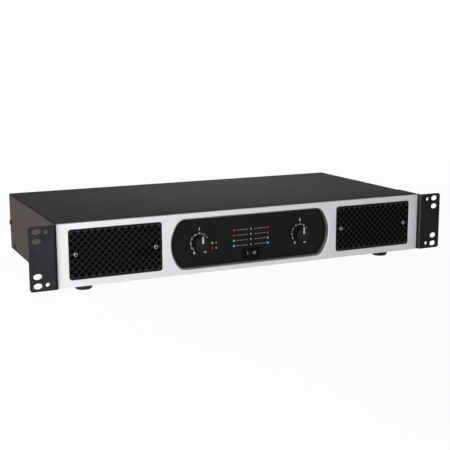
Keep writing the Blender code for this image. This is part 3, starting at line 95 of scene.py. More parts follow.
class Finish:
    """A Principled material whose colour, roughness and relief come from textures in object space."""

    def __init__(self, name, roughness, metallic=0.0):
        self.material = bpy.data.materials.new(name)
        self.material.use_nodes = True
        self.tree = self.material.node_tree
        self.shader = self.tree.nodes["Principled BSDF"]
        self.shader.inputs["Roughness"].default_value = roughness
        self.shader.inputs["Metallic"].default_value = metallic
        coordinates = self.tree.nodes.new("ShaderNodeTexCoord")
        self.place = coordinates.outputs["Object"]
        self.facing = coordinates.outputs["Normal"]
        self.normal = None

    def add(self, kind, **inputs):
        node = self.tree.nodes.new(kind)
        for name, value in inputs.items():
            node.inputs[name.replace("_", " ")].default_value = value
        return node

    def link(self, source, target):
        self.tree.links.new(source, target)

    def stretched(self, stretch):
        mapping = self.add("ShaderNodeMapping")
        mapping.inputs["Scale"].default_value = stretch
        self.link(self.place, mapping.inputs["Vector"])
        return mapping.outputs["Vector"]

    def grain(self, size, detail=2.0, stretch=(1.0, 1.0, 1.0)):
        """Soft noise whose lumps are about the given size."""
        texture = self.add("ShaderNodeTexNoise", Scale=1.0 / size, Detail=detail)
        self.link(self.stretched(stretch), texture.inputs["Vector"])
        return texture.outputs["Fac"]

    def cells(self, size):
        texture = self.add("ShaderNodeTexVoronoi", Scale=1.0 / size)
        self.link(self.place, texture.inputs["Vector"])
        return texture.outputs["Distance"]

    def colour(self, mask, low, high, start=0.3, end=0.7):
        ramp = self.add("ShaderNodeValToRGB")
        ramp.color_ramp.elements[0].color = (*low, 1.0)
        ramp.color_ramp.elements[1].color = (*high, 1.0)
        ramp.color_ramp.elements[0].position = start
        ramp.color_ramp.elements[1].position = end
        self.link(mask, ramp.inputs["Fac"])
        self.link(ramp.outputs["Color"], self.shader.inputs["Base Color"])
        return self

    def facing_along(self, axis):
        parts = self.add("ShaderNodeSeparateXYZ")
        self.link(self.facing, parts.inputs["Vector"])
        return parts.outputs[axis]

    def share(self, value, start, full):
        """Zero at the start and one when full, with a slope between them."""
        spread = self.add("ShaderNodeMapRange", From_Min=start, From_Max=full)
        self.link(value, spread.inputs["Value"])
        return spread.outputs["Result"]

    def fold(self, axis, start, full):
        """One on a fold between faces square to X and to another axis, and zero on both faces."""
        product = self.add("ShaderNodeMath")
        product.operation = "MULTIPLY"
        self.link(self.facing_along("X"), product.inputs[0])
        self.link(self.facing_along(axis), product.inputs[1])
        size = self.add("ShaderNodeMath")
        size.operation = "ABSOLUTE"
        self.link(product.outputs["Value"], size.inputs[0])
        return self.share(size.outputs["Value"], start, full)

    def second_colour(self, share, mask, low, high):
        """Another pair of colours, where the share is one."""
        first = self.shader.inputs["Base Color"].links[0].from_socket
        self.colour(mask, low, high)
        second = self.shader.inputs["Base Color"].links[0].from_socket
        mix = self.add("ShaderNodeMix")
        mix.data_type = "RGBA"
        self.link(share, mix.inputs["Factor"])
        self.link(first, mix.inputs["A"])
        self.link(second, mix.inputs["B"])
        self.link(mix.outputs["Result"], self.shader.inputs["Base Color"])
        return self

    def roughness(self, mask, low, high):
        spread = self.add("ShaderNodeMapRange")
        spread.inputs["To Min"].default_value = low
        spread.inputs["To Max"].default_value = high
        self.link(mask, spread.inputs["Value"])
        self.link(spread.outputs["Result"], self.shader.inputs["Roughness"])
        return self

    def relief(self, mask, depth, strength=1.0):
        """A bump on top of any relief already given."""
        bump = self.add("ShaderNodeBump", Strength=strength, Distance=depth)
        self.link(mask, bump.inputs["Height"])
        if self.normal:
            self.link(self.normal, bump.inputs["Normal"])
        self.normal = bump.outputs["Normal"]
        self.link(self.normal, self.shader.inputs["Normal"])
        return self

    def set(self, **values):
        for name, value in values.items():
            self.shader.inputs[name.replace("_", " ")].default_value = value
        return self


def grey(value):
    return (value, value, value)


DRIFT_LUMPS = 30
GLOSS_LUMPS = 12
PAINT_GLOSSIER = 0.05
PAINT_DULLER = 0.07
METAL_GLOSSIER = 0.06
METAL_DULLER = 0.1


def painted(name, low, high, roughness, lump, depth, specular=0.25):
    """Paint or moulded plastic: slow colour drift, fine texture and uneven gloss."""
    finish = Finish(name, roughness)
    finish.set(Specular_IOR_Level=specular)
    finish.colour(finish.grain(lump * DRIFT_LUMPS), low, high)
    finish.roughness(finish.grain(lump * GLOSS_LUMPS), roughness - PAINT_GLOSSIER, roughness + PAINT_DULLER)
    finish.relief(finish.grain(lump), depth)
    return finish


# How far each texture is drawn out along X
FINE_BRUSH = (0.03, 1.0, 1.0)
BRUSH = (0.05, 1.0, 1.0)
ROLLED = (0.1, 1.0, 1.0)
CASE_STREAK = (0.12, 1.0, 1.0)
CASE_RELIEF = (0.15, 1.0, 1.0)

SILVER_GREYS = ((0.785, 0.79, 0.815), (0.82, 0.825, 0.85))
# Painted shade: faces of the silver that turn up get a darker grey
UPWARD_SHADE_SPREAD = (0.20, 0.60)
UPWARD_SHADE_GREYS = ((0.31, 0.31, 0.32), (0.36, 0.36, 0.37))


def silver_finish():
    """Brushed aluminium, with painted shade: a darker grey where it faces up."""
    finish = Finish("satin_silver", roughness=0.4, metallic=0.15)
    brush = finish.grain(size=0.0008, detail=3.0, stretch=FINE_BRUSH)
    finish.colour(brush, *SILVER_GREYS)
    finish.second_colour(finish.share(finish.facing_along("Z"), *UPWARD_SHADE_SPREAD), brush, *UPWARD_SHADE_GREYS)
    finish.roughness(finish.grain(size=0.004, detail=4.0, stretch=BRUSH), low=0.42, high=0.54)
    finish.relief(finish.grain(size=0.0004, stretch=BRUSH), depth=0.000015)
    return finish


WIDE_FOLD = (0.10, 0.35)
NARROW_FOLD = (0.40, 0.47)
# Painted shade along the folds of the case and of the left ear
PAINTED_FOLD_SHADE = ((0.0085, 0.0080, 0.0078), (0.0120, 0.0115, 0.0110))
# A painted highlight along the fold of the right ear
PAINTED_FOLD_HIGHLIGHT = ((0.066, 0.066, 0.070), (0.086, 0.086, 0.090))
CASE_CHARCOALS = ((0.0333, 0.0317, 0.0308), (0.0382, 0.0364, 0.0354))
EAR_BLACKS = ((0.0255, 0.0248, 0.0285), (0.0335, 0.0328, 0.0375))


def case_finish():
    """Charcoal paint with faint streaks, and painted shade darkening the folds of the cover."""
    finish = Finish("charcoal_case_paint", roughness=0.55)
    finish.set(Specular_IOR_Level=0.006)
    finish.colour(finish.grain(size=0.003, detail=3.0, stretch=CASE_STREAK), *CASE_CHARCOALS)
    finish.second_colour(finish.fold("Z", *WIDE_FOLD), finish.grain(size=0.002, detail=3.0), *PAINTED_FOLD_SHADE)
    finish.roughness(finish.grain(size=0.02, detail=3.0), low=0.52, high=0.66)
    finish.relief(finish.grain(size=0.0006, detail=3.0), depth=0.00006)
    finish.relief(finish.grain(size=0.002, stretch=CASE_RELIEF), depth=0.00004)
    return finish


def ear_finish(name, sign, fold, fold_painted_light):
    """Black paint, with the case's own paint on the outer side of the leg, and the fold in the fold colours:
    painted shade on the left ear, a painted highlight on the right.
    """
    finish = painted(name, *EAR_BLACKS, roughness=0.58, lump=0.0005, depth=0.00004, specular=0.010)
    outward = finish.share(finish.facing_along("X"), 0.0, sign)
    finish.second_colour(outward, finish.grain(size=0.003, detail=3.0, stretch=CASE_STREAK), *CASE_CHARCOALS)
    finish.second_colour(finish.fold("Y", *fold), finish.grain(size=0.002, detail=3.0), *fold_painted_light)
    return finish


ZINC_GREYS = ((0.46, 0.47, 0.48), (0.62, 0.63, 0.63))
SPANGLE = 0.006


def zinc_finish():
    """Plated steel with spangles."""
    finish = Finish("zinc_plated_steel", roughness=0.4, metallic=0.9)
    finish.colour(finish.cells(SPANGLE), *ZINC_GREYS, start=0.1, end=0.8)
    finish.roughness(finish.cells(SPANGLE), low=0.32, high=0.48)
    finish.relief(finish.grain(size=0.0015, detail=3.0, stretch=ROLLED), depth=0.00001)
    return finish


FOAM_CELL = 0.0009


def foam_finish():
    """Open-cell foam, darkest between its cells."""
    finish = Finish("black_filter_foam", roughness=0.95)
    finish.colour(finish.cells(FOAM_CELL), grey(0.0030), grey(0.0005), start=0.2, end=0.7)
    finish.set(Specular_IOR_Level=0.05)
    finish.relief(finish.cells(FOAM_CELL), depth=0.0006)
    return finish


def lens_finish(name, low, high, glow):
    """Tinted plastic that gives a little light."""
    finish = Finish(name, roughness=0.16)
    finish.colour(finish.grain(size=0.0008), low, high)
    finish.relief(finish.grain(size=0.0006, detail=1.0), depth=0.000015)
    finish.set(Specular_IOR_Level=0.2, Coat_Weight=0.12, Coat_Roughness=0.06)
    finish.set(Emission_Color=(*high, 1.0), Emission_Strength=glow)
    return finish


def metal_finish(name, low, high, roughness, size):
    """Bare or plated metal with a fine uneven sheen."""
    finish = Finish(name, roughness, metallic=1.0)
    finish.colour(finish.grain(size, detail=3.0), low, high)
    gloss = finish.grain(size * 2, detail=3.0)
    finish.roughness(gloss, roughness - METAL_GLOSSIER, roughness + METAL_DULLER)
    finish.relief(finish.grain(size / 4), depth=0.000008)
    return finish


SILVER = silver_finish()
CASE = case_finish()
ZINC = zinc_finish()
FOAM = foam_finish()
# The left ear's fold gets painted shade, the right ear's fold a painted highlight
LEFT_EAR = ear_finish("left_ear_paint", -1.0, WIDE_FOLD, PAINTED_FOLD_SHADE)
RIGHT_EAR = ear_finish("right_ear_paint", 1.0, NARROW_FOLD, PAINTED_FOLD_HIGHLIGHT)

# Paint, plastic and print: name, two colours, roughness, lump size, relief, and gloss where it differs
MESH = painted("black_mesh_steel", (0.021, 0.021, 0.0238), (0.030, 0.030, 0.0332), 0.42, 0.0005, 0.00003, 0.1)
PLATE_BLACKS = ((0.0050, 0.0049, 0.0058), (0.0072, 0.0071, 0.0082))
PLATE = painted("black_control_plate", *PLATE_BLACKS, 0.40, 0.0004, 0.00002, 0.1)
PLASTIC = painted("black_plastic", (0.008, 0.008, 0.009), (0.013, 0.013, 0.014), 0.42, 0.0003, 0.00003)
# Painted shade: this grey stands for the silver wall of the window in shade
RIM_SHADE_GREY = painted("rim_painted_shade_grey", (0.12, 0.12, 0.125), (0.15, 0.15, 0.155), 0.38, 0.0004, 0.00001, 0.3)
KNOB_BLACK = painted("knob_black", grey(0.003), grey(0.005), 0.36, 0.0003, 0.00002, 0.15)
KNOB_GREY = painted("knob_cap_grey", grey(0.008), grey(0.012), 0.5, 0.0003, 0.00002, 0.12)
SWITCH_BLACKS = ((0.0012, 0.0012, 0.0013), (0.0022, 0.0022, 0.0024))
SWITCH_BLACK = painted("switch_black", *SWITCH_BLACKS, 0.4, 0.0003, 0.00002, 0.06)
RUBBER = painted("black_rubber", grey(0.012), grey(0.020), 0.80, 0.0008, 0.00008)
PRINT = painted("white_print", grey(0.70), grey(0.80), 0.55, 0.0002, 0.00001)
DIM_PRINT = painted("grey_print", grey(0.26), (0.34, 0.34, 0.33), 0.55, 0.0002, 0.00001)
BOARD = painted("board_green", (0.018, 0.09, 0.04), (0.03, 0.13, 0.06), 0.42, 0.0008, 0.00004)
FERRITE = painted("ferrite", (0.04, 0.04, 0.043), (0.075, 0.075, 0.08), 0.7, 0.0008, 0.00006)
TAPE = painted("winding_tape", (0.45, 0.33, 0.06), (0.62, 0.48, 0.10), 0.5, 0.0010, 0.00004)
SLEEVE = painted("capacitor_sleeve", (0.022, 0.03, 0.08), (0.035, 0.045, 0.11), 0.32, 0.0010, 0.00002)
RIBBON = painted("ribbon_grey", (0.28, 0.28, 0.30), (0.40, 0.40, 0.42), 0.6, 0.0006, 0.00005)
# Painted shade at the floors of screw sockets and of contact wells
RECESS_SHADE = painted("recess_painted_shade", grey(0.003), grey(0.006), 0.6, 0.0004, 0.00003)

# Metal: name, two colours, roughness and grain size
BRONZE = metal_finish("dark_bronze_screw", (0.18, 0.16, 0.14), (0.32, 0.29, 0.26), 0.22, 0.0008)
BRIGHT = metal_finish("bright_screw", (0.62, 0.60, 0.56), (0.78, 0.76, 0.71), 0.26, 0.0008)
BLACK_SCREW = metal_finish("black_screw", (0.008, 0.008, 0.009), (0.015, 0.015, 0.016), 0.40, 0.0008)
ALUMINIUM = metal_finish("heat_sink_aluminium", (0.50, 0.50, 0.52), (0.64, 0.64, 0.66), 0.42, 0.0020)
BRASS = metal_finish("contact_brass", (0.62, 0.47, 0.18), (0.78, 0.62, 0.28), 0.28, 0.0008)
NICKEL = metal_finish("contact_nickel", (0.55, 0.55, 0.54), (0.72, 0.72, 0.70), 0.25, 0.0008)

# Indicator lamps: name, two colours and how much they glow
# The red lamps are unlit, so the red lens's faint glow is a painted glow
RED = lens_finish("red_lens", (0.13, 0.001, 0.006), (0.22, 0.003, 0.012), 0.1)
GREEN = lens_finish("green_lens", (0.004, 0.12, 0.03), (0.01, 0.20, 0.06), 0.2)
BLUE = lens_finish("blue_lens", (0.006, 0.07, 0.19), (0.02, 0.13, 0.30), 0.2)
LIME = lens_finish("lime_lens", (0.14, 0.15, 0.006), (0.24, 0.25, 0.02), 0.2)
# The red dome is a painted highlight with a painted glow. The other domes are the glow of lit lamps
RED_PAINTED_HIGHLIGHT = lens_finish("red_glow", (0.38, 0.01, 0.03), (0.52, 0.03, 0.06), 0.15)
GREEN_GLOW = lens_finish("green_glow", (0.16, 0.58, 0.22), (0.26, 0.72, 0.32), 0.25)
BLUE_GLOW = lens_finish("blue_glow", (0.34, 0.58, 0.80), (0.48, 0.70, 0.90), 0.25)
LIME_GLOW = lens_finish("lime_glow", (0.50, 0.50, 0.14), (0.64, 0.64, 0.24), 0.25)

NODE_FINISHES = (
    (CASE, "top_cover", "rear_panel"),
    (ZINC, "chassis_tray", "front_bulkhead", "mode_switch_body"),
    (ZINC, "pot_1", "pot_2", "pot_shaft_1", "pot_shaft_2"),
    (PLATE, "control_plate"),
    (LEFT_EAR, "left_rack_ear"),
    (RIGHT_EAR, "right_rack_ear"),
    (SWITCH_BLACK, "power_switch_body", "power_rocker"),
    (BOARD, "control_board", "main_board"),
    (ALUMINIUM, "left_heat_sink", "right_heat_sink"),
    (FERRITE, "transformer_core"),
    (TAPE, "transformer_winding"),
    (SLEEVE, "left_filter_capacitor", "right_filter_capacitor"),
    (RIBBON, "ribbon_cable"),
    (PLASTIC, "left_fan_frame", "right_fan_frame", "left_fan_rotor", "right_fan_rotor"),
    (PLASTIC, "mains_inlet", "mode_switch_slider"))


def dress(node, finish):
    """Give a node of the part its finish, in every slot that it has."""
    if not node.material_slots:
        node.data.materials.append(finish.material)
    for slot in node.material_slots:
        slot.material = finish.material


for finish, *names in NODE_FINISHES:
    for name in names:
        dress(nodes[name], finish)

# Shapes

SHARP_ANGLE = math.radians(40.0)
SMOOTH_ANGLE = math.radians(35.0)
WELD = 1e-6
SPIN_WELD = 1e-5
SQUARE_ON = 0.9999


def evaluated(item):
    """The item's mesh with its modifiers, welded and facing out. The item goes."""
    bpy.context.scene.collection.objects.link(item)
    graph = bpy.context.evaluated_depsgraph_get()
    mesh = bpy.data.meshes.new_from_object(item.evaluated_get(graph))
    bpy.data.objects.remove(item)
    work = bmesh.new()
    work.from_mesh(mesh)
    bmesh.ops.remove_doubles(work, verts=work.verts, dist=WELD)
    bmesh.ops.recalc_face_normals(work, faces=work.faces)
    work.to_mesh(mesh)
    work.free()
    return mesh


def turned(profile, steps=48):
    """A profile of (radius, height) points, top to bottom, spun round Z."""
    mesh = bpy.data.meshes.new("profile")
    edges = [(index, index + 1) for index in range(len(profile) - 1)]
    mesh.from_pydata([(radius, 0.0, height) for radius, height in profile], edges, [])
    spun = bpy.data.objects.new("spun", mesh)
    spin = spun.modifiers.new("spin", "SCREW")
    spin.axis = "Z"
    spin.steps = steps
    spin.render_steps = steps
    spin.use_merge_vertices = True
    spin.merge_threshold = SPIN_WELD
    return evaluated(spun)


def plate(loops, bottom, top):
    """A flat outline with holes, between two heights along Z."""
    curve = bpy.data.curves.new("outline", "CURVE")
    curve.dimensions = "2D"
    curve.fill_mode = "BOTH"
    curve.extrude = (top - bottom) / 2
    for loop in loops:
        spline = curve.splines.new("POLY")
        spline.points.add(len(loop) - 1)
        for point, (x, y) in zip(spline.points, loop):
            point.co = (x, y, 0.0, 1.0)
        spline.use_cyclic_u = True
    mesh = evaluated(bpy.data.objects.new("outline", curve))
    mesh.transform(at(0.0, 0.0, (top + bottom) / 2))
    return mesh


def soften(mesh, radius, segments=3, front_only=False, chosen=None):
    """Round the sharp edges of a mesh, or those of its front face, or the chosen ones among them."""
    work = bmesh.new()
    work.from_mesh(mesh)
    front = max(vert.co.z for vert in work.verts)
    edges = []
    for edge in work.edges:
        if len(edge.link_faces) != 2 or edge.calc_face_angle() < SHARP_ANGLE:
            continue
        if front_only and any(abs(vert.co.z - front) > WELD for vert in edge.verts):
            continue
        if chosen and not all(chosen(vert.co) for vert in edge.verts):
            continue
        edges.append(edge)
    bmesh.ops.bevel(
        work, geom=edges, offset=radius, offset_type="OFFSET", segments=segments, profile=0.5, affect="EDGES",
        loop_slide=False, clamp_overlap=True)
    work.to_mesh(mesh)
    work.free()
    return mesh


def keep_flat(mesh, axis):
    """Leave the faces square to an axis flat, next to the rounded edges round them."""
    work = bmesh.new()
    work.from_mesh(mesh)
    for edge in work.edges:
        square = [abs(face.normal.dot(axis)) > SQUARE_ON for face in edge.link_faces]
        if any(square) and not all(square):
            edge.smooth = False
    work.to_mesh(mesh)
    work.free()


def placed(mesh, matrix):
    copy = mesh.copy()
    copy.transform(matrix)
    return copy


def joined(items):
    """Several meshes as one, each at its place."""
    work = bmesh.new()
    for mesh, matrix in items:
        copy = placed(mesh, matrix)
        work.from_mesh(copy)
        bpy.data.meshes.remove(copy)
    mesh = bpy.data.meshes.new("joined")
    work.to_mesh(mesh)
    work.free()
    return mesh


def carved(mesh, tool_mesh):
    """The mesh with the tool's shape cut out of it."""
    body = bpy.data.objects.new("body", mesh)
    tool = bpy.data.objects.new("tool", tool_mesh)
    bpy.context.scene.collection.objects.link(tool)
    step = body.modifiers.new("carve", "BOOLEAN")
    step.operation = "DIFFERENCE"
    step.solver = "EXACT"
    step.object = tool
    result = evaluated(body)
    bpy.data.objects.remove(tool)
    return result


def add(name, mesh, finish, body="chassis", replaces=()):
    """One piece of the visual model, riding on its body."""
    mesh.materials.clear()
    mesh.materials.append(finish.material)
    mesh.name = name
    mesh.shade_smooth()
    mesh.set_sharp_from_angle(angle=SMOOTH_ANGLE)
    piece = bpy.data.objects.new(name, mesh)
    bpy.context.scene.collection.objects.link(piece)
    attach(piece, body)
    if replaces:
        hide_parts(*replaces)
    return piece


def arc(x, y, radius, start, end, steps):
    """Points along part of a circle, between two angles in degrees."""
    points = []
    for step in range(steps + 1):
        angle = math.radians(start + (end - start) * step / steps)
        points.append((x + radius * math.cos(angle), y + radius * math.sin(angle)))
    return points


def circle(x, y, radius, steps=48):
    return arc(x, y, radius, 0, 360, steps)[:-1]


def rectangle(x, y, width, height):
    right = width / 2
    top = height / 2
    return [(x - right, y - top), (x + right, y - top), (x + right, y + top), (x - right, y + top)]


def rounded_rectangle(x, y, width, height, radius, steps=8):
    loop = []
    for turn, (side, end) in enumerate(((1, 1), (-1, 1), (-1, -1), (1, -1))):
        corner_x = x + side * (width / 2 - radius)
        corner_y = y + end * (height / 2 - radius)
        loop += arc(corner_x, corner_y, radius, 90 * turn, 90 * turn + 90, steps)
    return loop


# Printed marks on the control plate

PRINT_PROUD = 0.00005
PRINT_WEIGHT = 0.035
TICK_RING = 0.0099
TICK_SWEEP = 300.0
TICKS = 21
LONG_TICK = (0.0010, 0.0016)
SHORT_TICK = (0.0008, 0.0008)
STROKE_CORNER = 0.3
END_NUMBER = 0.0034
END_NUMBER_GAP = 0.0021
CHANNEL_NUMBER = 0.0042
CHANNEL_NUMBER_RISE = 0.0148
ROW_NUMBER = 0.0026
LED_PITCH = 0.00567
LED_ROWS = [CASE_MID + (1.5 - row) * LED_PITCH for row in range(4)]
LED_LINE_X = 0.0107
LED_LINE = (0.0142, 0.00038)
MODE_ROWS = LED_ROWS[2:]
MODE_NUMBER_X = -0.0409


def words(text, size, x, z, y=PLATE_FACE):
    """Plain lettering, centred on a place of a plane that faces the front."""
    curve = bpy.data.curves.new("words", "FONT")
    curve.body = text
    curve.size = size
    curve.align_x = "CENTER"
    curve.align_y = "CENTER"
    curve.extrude = PRINT_PROUD / 2
    curve.offset = size * PRINT_WEIGHT
    mesh = evaluated(bpy.data.objects.new("words", curve))
    mesh.transform(at(x, y - PRINT_PROUD, z) @ FRONT)
    return mesh


def stroke(x, z, width, height, turn=0.0):
    """A short printed bar on the control plate."""
    corner = min(width, height) * STROKE_CORNER
    mesh = plate([rounded_rectangle(0.0, 0.0, width, height, corner, steps=2)], 0.0, PRINT_PROUD)
    mesh.transform(at(x, PLATE_FACE - PRINT_PROUD / 4, z) @ FRONT @ Matrix.Rotation(turn, 4, "Z"))
    return mesh


def dial_marks(x, number):
    """A ring of ticks with a number at both ends and the channel's number on top."""
    marks = []
    for tick in range(1, TICKS - 1):
        angle = math.radians(TICK_SWEEP * (tick / (TICKS - 1) - 0.5))
        width, length = SHORT_TICK if tick % 2 else LONG_TICK
        spot_x = x + TICK_RING * math.sin(angle)
        spot_z = CONTROL_Z + TICK_RING * math.cos(angle)
        marks.append(stroke(spot_x, spot_z, width, length, -angle))
    low = math.radians(TICK_SWEEP / 2)
    reach = TICK_RING + END_NUMBER_GAP
    spot_z = CONTROL_Z + reach * math.cos(low)
    for sign, text in ((-1, "0"), (1, "10")):
        marks.append(words(text, END_NUMBER, x + sign * reach * math.sin(low), spot_z))
    marks.append(words(str(number), CHANNEL_NUMBER, x, CONTROL_Z + CHANNEL_NUMBER_RISE))
    return marks


marks = dial_marks(-KNOB_X, 1) + dial_marks(KNOB_X, 2)
for row, z in enumerate(LED_ROWS):
    marks.append(words(str(len(LED_ROWS) - row), ROW_NUMBER, 0.0, z))
for number, z in enumerate(MODE_ROWS, 1):
    marks.append(words(str(number), ROW_NUMBER, MODE_NUMBER_X, z))
lines = []
for z in LED_ROWS:
    for sign in ENDS:
        lines.append(stroke(sign * LED_LINE_X, z, *LED_LINE))
add("panel_marks", joined([(mark, HERE) for mark in marks]), PRINT)
add("panel_lines", joined([(line, HERE) for line in lines]), DIM_PRINT)

# Front panel

PANEL_WIDTH = 0.4256
PANEL_HEIGHT = 0.0638
PANEL_EDGE = 0.0030
WINDOW_WIDTH = 0.1876
WINDOW_HEIGHT = 0.0530
WINDOW_BULGE = 0.0112
WINDOW_FILLET = 0.0115
WINDOW_CORNER = 0.0030
WINDOW_EDGE = 0.0012
GRILLE_WINDOW_EDGE = 0.0004
RIM_WIDTH = 0.0006
RIM_DROP = 0.0010
RIM_EDGE = 0.0003
GRILLE_RIM = 0.0013
GRILLE_RIM_CORNER = 0.0016
GRILLE_RIM_HEIGHT = 0.0007
WINDOW_GAP = 0.0003
MESH_PITCH = 0.0070
MESH_BAR = 0.0005
MESH_SHEET = 0.0006
MESH_MARGIN = 0.0005
MESH_EDGE = 0.00008


def control_window(inset=0.0):
    """Straight top and bottom, arched ends and filleted corners. The inset gives an outline inside it."""
    half = WINDOW_HEIGHT / 2
    radius = (half * half + WINDOW_BULGE * WINDOW_BULGE) / (2 * WINDOW_BULGE)
    centre = WINDOW_WIDTH / 2 - radius
    rise = half - WINDOW_FILLET
    reach = math.sqrt((radius - WINDOW_FILLET) ** 2 - rise * rise)
    turn = math.degrees(math.atan2(rise, reach))
    quarter = arc(centre, 0.0, radius - inset, 0, turn, steps=16)
    quarter += arc(centre + reach, rise, WINDOW_FILLET - inset, turn, 90, steps=8)[1:]
    top_left = [(-x, y) for x, y in reversed(quarter)]
    bottom_left = [(-x, -y) for x, y in quarter[1:]]
    bottom_right = [(x, -y) for x, y in reversed(quarter[1:])]
    return quarter + top_left + bottom_left + bottom_right


def grille_rim(x, width, height):
    """A narrow black frame on the front of a grille, and its place."""
    loops = [rounded_rectangle(0.0, 0.0, width, height, WINDOW_CORNER - WINDOW_GAP),
             rounded_rectangle(0.0, 0.0, width - 2 * GRILLE_RIM, height - 2 * GRILLE_RIM, GRILLE_RIM_CORNER)]
    mesh = soften(plate(loops, 0.0, GRILLE_RIM_HEIGHT), RIM_EDGE, segments=2, front_only=True)
    return mesh, at(x, GRILLE_FRONT, CASE_MID) @ FRONT


def mesh_holes(width, height):
    """Diamonds in rows half a pitch apart, trimmed at both ends.

    The ends of the middle row stay shut for the screws.
    """
    step = MESH_PITCH / 2
    half = step - MESH_BAR / math.sqrt(2)
    limit = width / 2 - MESH_MARGIN
    rows = math.floor((height / 2 - MESH_MARGIN - half) / step)
    columns = 2 * math.floor((limit - half) / MESH_PITCH)
    holes = []
    for row in range(-rows, rows + 1):
        for column in range(-columns - 1, columns + 2):
            if (row + column) % 2 or (row == 0 and abs(column) == columns):
                continue
            x = column * step
            z = row * step
            side = 1 if x > 0 else -1
            over = abs(x) + half - limit
            tip = [(x + side * half, z)]
            if over > 0:
                tip = [(side * limit, z - over), (side * limit, z + over)]
            holes.append([(x - side * half, z), (x, z - half), *tip, (x, z + half)])
    return holes


def grille_mesh(name, width, height):
    """A thin perforated sheet in place of a grille, behind its window."""
    low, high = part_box(name)
    edge = rounded_rectangle(0.0, 0.0, width, height, WINDOW_CORNER - WINDOW_GAP)
    mesh = plate([edge] + mesh_holes(width, height), 0.0, MESH_SHEET)
    mesh = soften(mesh, MESH_EDGE, segments=1, front_only=True)
    mesh.transform(at((low[0] + high[0]) / 2, GRILLE_FRONT + MESH_SHEET, CASE_MID) @ FRONT)
    add(f"{name}_mesh", mesh, MESH, replaces=[name])


def in_control_window(spot):
    return abs(spot.x) < WINDOW_WIDTH / 2 + WINDOW_EDGE and abs(spot.y) < WINDOW_HEIGHT / 2 + WINDOW_EDGE


def in_grille_window(spot):
    return WINDOW_WIDTH / 2 + WINDOW_EDGE < abs(spot.x) < PANEL_WIDTH / 2 - PANEL_EDGE


def front_panel():
    """The silver panel with its three windows, and the grilles behind the outer two."""
    loops = [rectangle(0.0, 0.0, PANEL_WIDTH, PANEL_HEIGHT), control_window()]
    low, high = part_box("left_grille")
    width = high[0] - low[0]
    height = high[2] - low[2]
    window = (width + 2 * WINDOW_GAP, height + 2 * WINDOW_GAP)
    x = (high[0] + low[0]) / 2
    rims = []
    for sign in ENDS:
        loops.append(rounded_rectangle(sign * x, CASE_MID - PANEL_MID, *window, WINDOW_CORNER))
        rims.append(grille_rim(sign * x, width, height))
    for side in SIDES:
        grille_mesh(f"{side}_grille", width, height)
    mesh = plate(loops, 0.0, PANEL_BACK - PANEL_FACE)
    mesh = soften(mesh, WINDOW_EDGE, segments=6, front_only=True, chosen=in_control_window)
    mesh = soften(mesh, GRILLE_WINDOW_EDGE, segments=4, front_only=True, chosen=in_grille_window)
    mesh = soften(mesh, PANEL_EDGE, segments=6, front_only=True)
    mesh.transform(at(0.0, PANEL_BACK, PANEL_MID) @ FRONT)
    skin = add("front_panel_skin", mesh, SILVER, replaces=["front_panel"])
    keep_flat(skin.data, Vector((0.0, 1.0, 0.0)))
    add("grille_rims", joined(rims), KNOB_BLACK)


def window_rim():
    """A thin lip on the control plate, just inside the window, in a grey that paints the shade on the
    window's silver wall.
    """
    loops = [control_window(WINDOW_GAP), control_window(WINDOW_GAP + RIM_WIDTH)]
    mesh = soften(plate(loops, 0.0, PLATE_FACE - PANEL_FACE - RIM_DROP), RIM_EDGE, front_only=True)
    mesh.transform(at(0.0, PLATE_FACE, PANEL_MID) @ FRONT)
    add("control_plate_rim", mesh, RIM_SHADE_GREY)


front_panel()
window_rim()

# Knobs

KNOB_PROFILE = [
    (0.0, 0.00880), (0.00700, 0.00880), (0.00760, 0.00862), (0.00788, 0.00828), (0.00796, 0.00780),
    (0.00820, 0.00300), (0.00850, 0.00140), (0.00886, 0.00060), (0.00880, 0.00015), (0.00862, 0.0),
    (0.00690, 0.0), (0.00690, 0.0045), (0.0, 0.0045)]
KNOB_CAP = [
    (0.0, 0.00930), (0.0015, 0.00927), (0.0030, 0.00918), (0.0045, 0.00903), (0.0058, 0.00884),
    (0.0062, 0.00870)]
KNOB_STEPS = 64
POINTER = [(-0.0009, 0.0010), (0.0009, 0.0010), (0.0005, 0.0080), (-0.0005, 0.0080)]
POINTER_REAR = 0.0084
POINTER_FACE = 0.00956
POINTER_EDGE = 0.0001


def knob(number, x):
    """A knob with its raised cap and its pointer line, all turning with the shaft."""
    spot = at(x, KNOB_REAR, CONTROL_Z) @ FRONT
    body = f"knob_{number}"
    shell = turned(KNOB_PROFILE, KNOB_STEPS)
    add(f"{body}_shell", placed(shell, spot), KNOB_BLACK, body, [body])
    cap = turned(KNOB_CAP, KNOB_STEPS)
    add(f"{body}_cap", placed(cap, spot), KNOB_GREY, body)
    pointer = soften(plate([POINTER], POINTER_REAR, POINTER_FACE), POINTER_EDGE, segments=2)
    add(f"{body}_pointer", placed(pointer, spot), PRINT, body)


for number, x in ((1, -KNOB_X), (2, KNOB_X)):
    knob(number, x)

# Indicator lamps

LAMP_COLOURS = {
    "protect": "red", "clip": "red", "signal": "green", "power": "blue", "parallel": "lime", "bridge": "red"}
LENSES = {"red": RED, "green": GREEN, "blue": BLUE, "lime": LIME}
GLOWS = {"red": RED_PAINTED_HIGHLIGHT, "green": GREEN_GLOW, "blue": BLUE_GLOW, "lime": LIME_GLOW}
LENS_RADIUS = 0.00145
LENS_DOME = 0.0011
LENS_DEPTH = 0.0080
GLOW_PROFILE = [(0.0, 0.00116), (0.0004, 0.00112), (0.0007, 0.00102), (0.00078, 0.0009), (0.0, 0.0008)]


def lens_profile():
    """A low dome on a straight barrel."""
    points = []
    for degrees in range(0, 91, 15):
        angle = math.radians(degrees)
        points.append((LENS_RADIUS * math.sin(angle), LENS_DOME * math.cos(angle)))
    return points + [(LENS_RADIUS, -LENS_DEPTH), (0.0, -LENS_DEPTH)]


